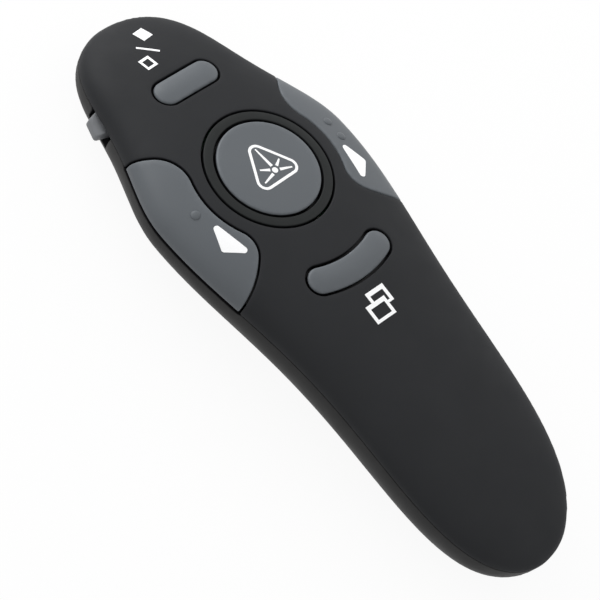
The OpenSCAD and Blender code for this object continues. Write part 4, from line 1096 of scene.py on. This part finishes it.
# --- Pieces that keep their CAD shape ---
for finish, nodes in (
    (tray_finish, ["battery_tray"]),
    (ivory_finish, ["laser_plunger", "blank_screen_plunger", "window_plunger", "page_back_plunger",
                    "page_forward_plunger", "power_lever"]),
    (black_finish, ["key_switches", "radio_chip", "receiver_tongue"]),
    (board_finish, ["main_board", "laser_driver"]),
    (can_finish, ["crystal_can", "power_switch"]),
    (brass_finish, ["laser_barrel", "laser_diode"]),
    (lens_finish, ["laser_lens"]),
    (contact_finish, ["cell_cap", "positive_contact", "negative_spring"]),
    (plug_finish, ["receiver_plug"]),
    (screw_finish, ["tail_screw", "board_screws"]),
):
    for node in nodes:
        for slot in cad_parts[node].material_slots:
            slot.material = finish

# --- Stage: floor, light and camera, in metres ---
FLOOR_HALF = 3
FLOOR_GLOW = 0.93
SKY_LIGHT, SKY_SEEN = 0.7, 0.3
CAMERA_AT = (-0.317645, -0.065915, 0.429956)
CAMERA_RIGHT = (0.67007, -0.62675, 0.39775)
CAMERA_UP = (0.44913, 0.76893, 0.45501)
CAMERA_BACK = (-0.59101, -0.12625, 0.79672)


def paper():
    """White paper with a faint shadow. From beneath and to bounced light it is clear, so that the underside
    can be seen and is lit."""
    f = Finish("pale_floor", 0.9, specular=0.0)
    f.feed("Base Color", (0.9, 0.9, 0.9))
    seen = f.seen()
    glow = f.node("ShaderNodeEmission", None, {"Color": (1, 1, 1), "Strength": 1.0})
    lit = Signal(f, f.shader.outputs[0])
    from_above = f.node("ShaderNodeMixShader", None, {0: seen * FLOOR_GLOW, 1: lit, 2: glow})
    below = f.node("ShaderNodeNewGeometry", out="Backfacing")
    one_way = f.node("ShaderNodeMixShader", None, {
        0: f.between(below + (1 - seen), 0.0, 1.0), 1: from_above, 2: f.node("ShaderNodeBsdfTransparent")})
    f.put(f.tree.nodes["Material Output"].inputs["Surface"], one_way)
    return f.material


floor_mesh = bpy.data.meshes.new("floor")
floor_mesh.from_pydata([(FLOOR_HALF * x, FLOOR_HALF * y, 0) for x, y in ((-1, -1), (1, -1), (1, 1), (-1, 1))],
                       [], [(0, 1, 2, 3)])
floor_mesh.materials.append(paper())
floor = in_scene("floor", floor_mesh)

world = bpy.data.worlds.new("studio")
bpy.context.scene.world = world
world.use_nodes = True
sky, background = Nodes(world.node_tree), world.node_tree.nodes["Background"]
sky.put(background.inputs["Color"], (1, 1, 1))
sky.put(background.inputs["Strength"], SKY_LIGHT + sky.seen() * SKY_SEEN)


def softbox(name, at, aim, size, power):
    light = bpy.data.lights.new(name, "AREA")
    light.shape = "RECTANGLE"
    light.size, light.size_y = size
    light.energy = power
    obj = in_scene(name, light)
    obj.location = at
    obj.rotation_euler = (Vector(aim) - Vector(at)).to_track_quat("-Z", "Y").to_euler()


softbox("nose_light", at=(0.03, 0.48, 0.24), aim=(0, 0.03, 0), size=(0.5, 0.3), power=2.1)
softbox("right_light", at=(0.55, 0.05, 0.35), aim=(0, 0, 0.01), size=(0.5, 0.4), power=0.5)

camera = bpy.data.cameras.new("camera")
camera.lens = 171.344
camera.sensor_width = 36.0
camera.clip_start = 0.01
eye = in_scene("camera", camera)
eye.matrix_world = Matrix.Translation(CAMERA_AT) @ Matrix(
    (CAMERA_RIGHT, CAMERA_UP, CAMERA_BACK)).transposed().to_4x4()
bpy.context.scene.camera = eye
bpy.context.scene.view_settings.view_transform = "Standard"
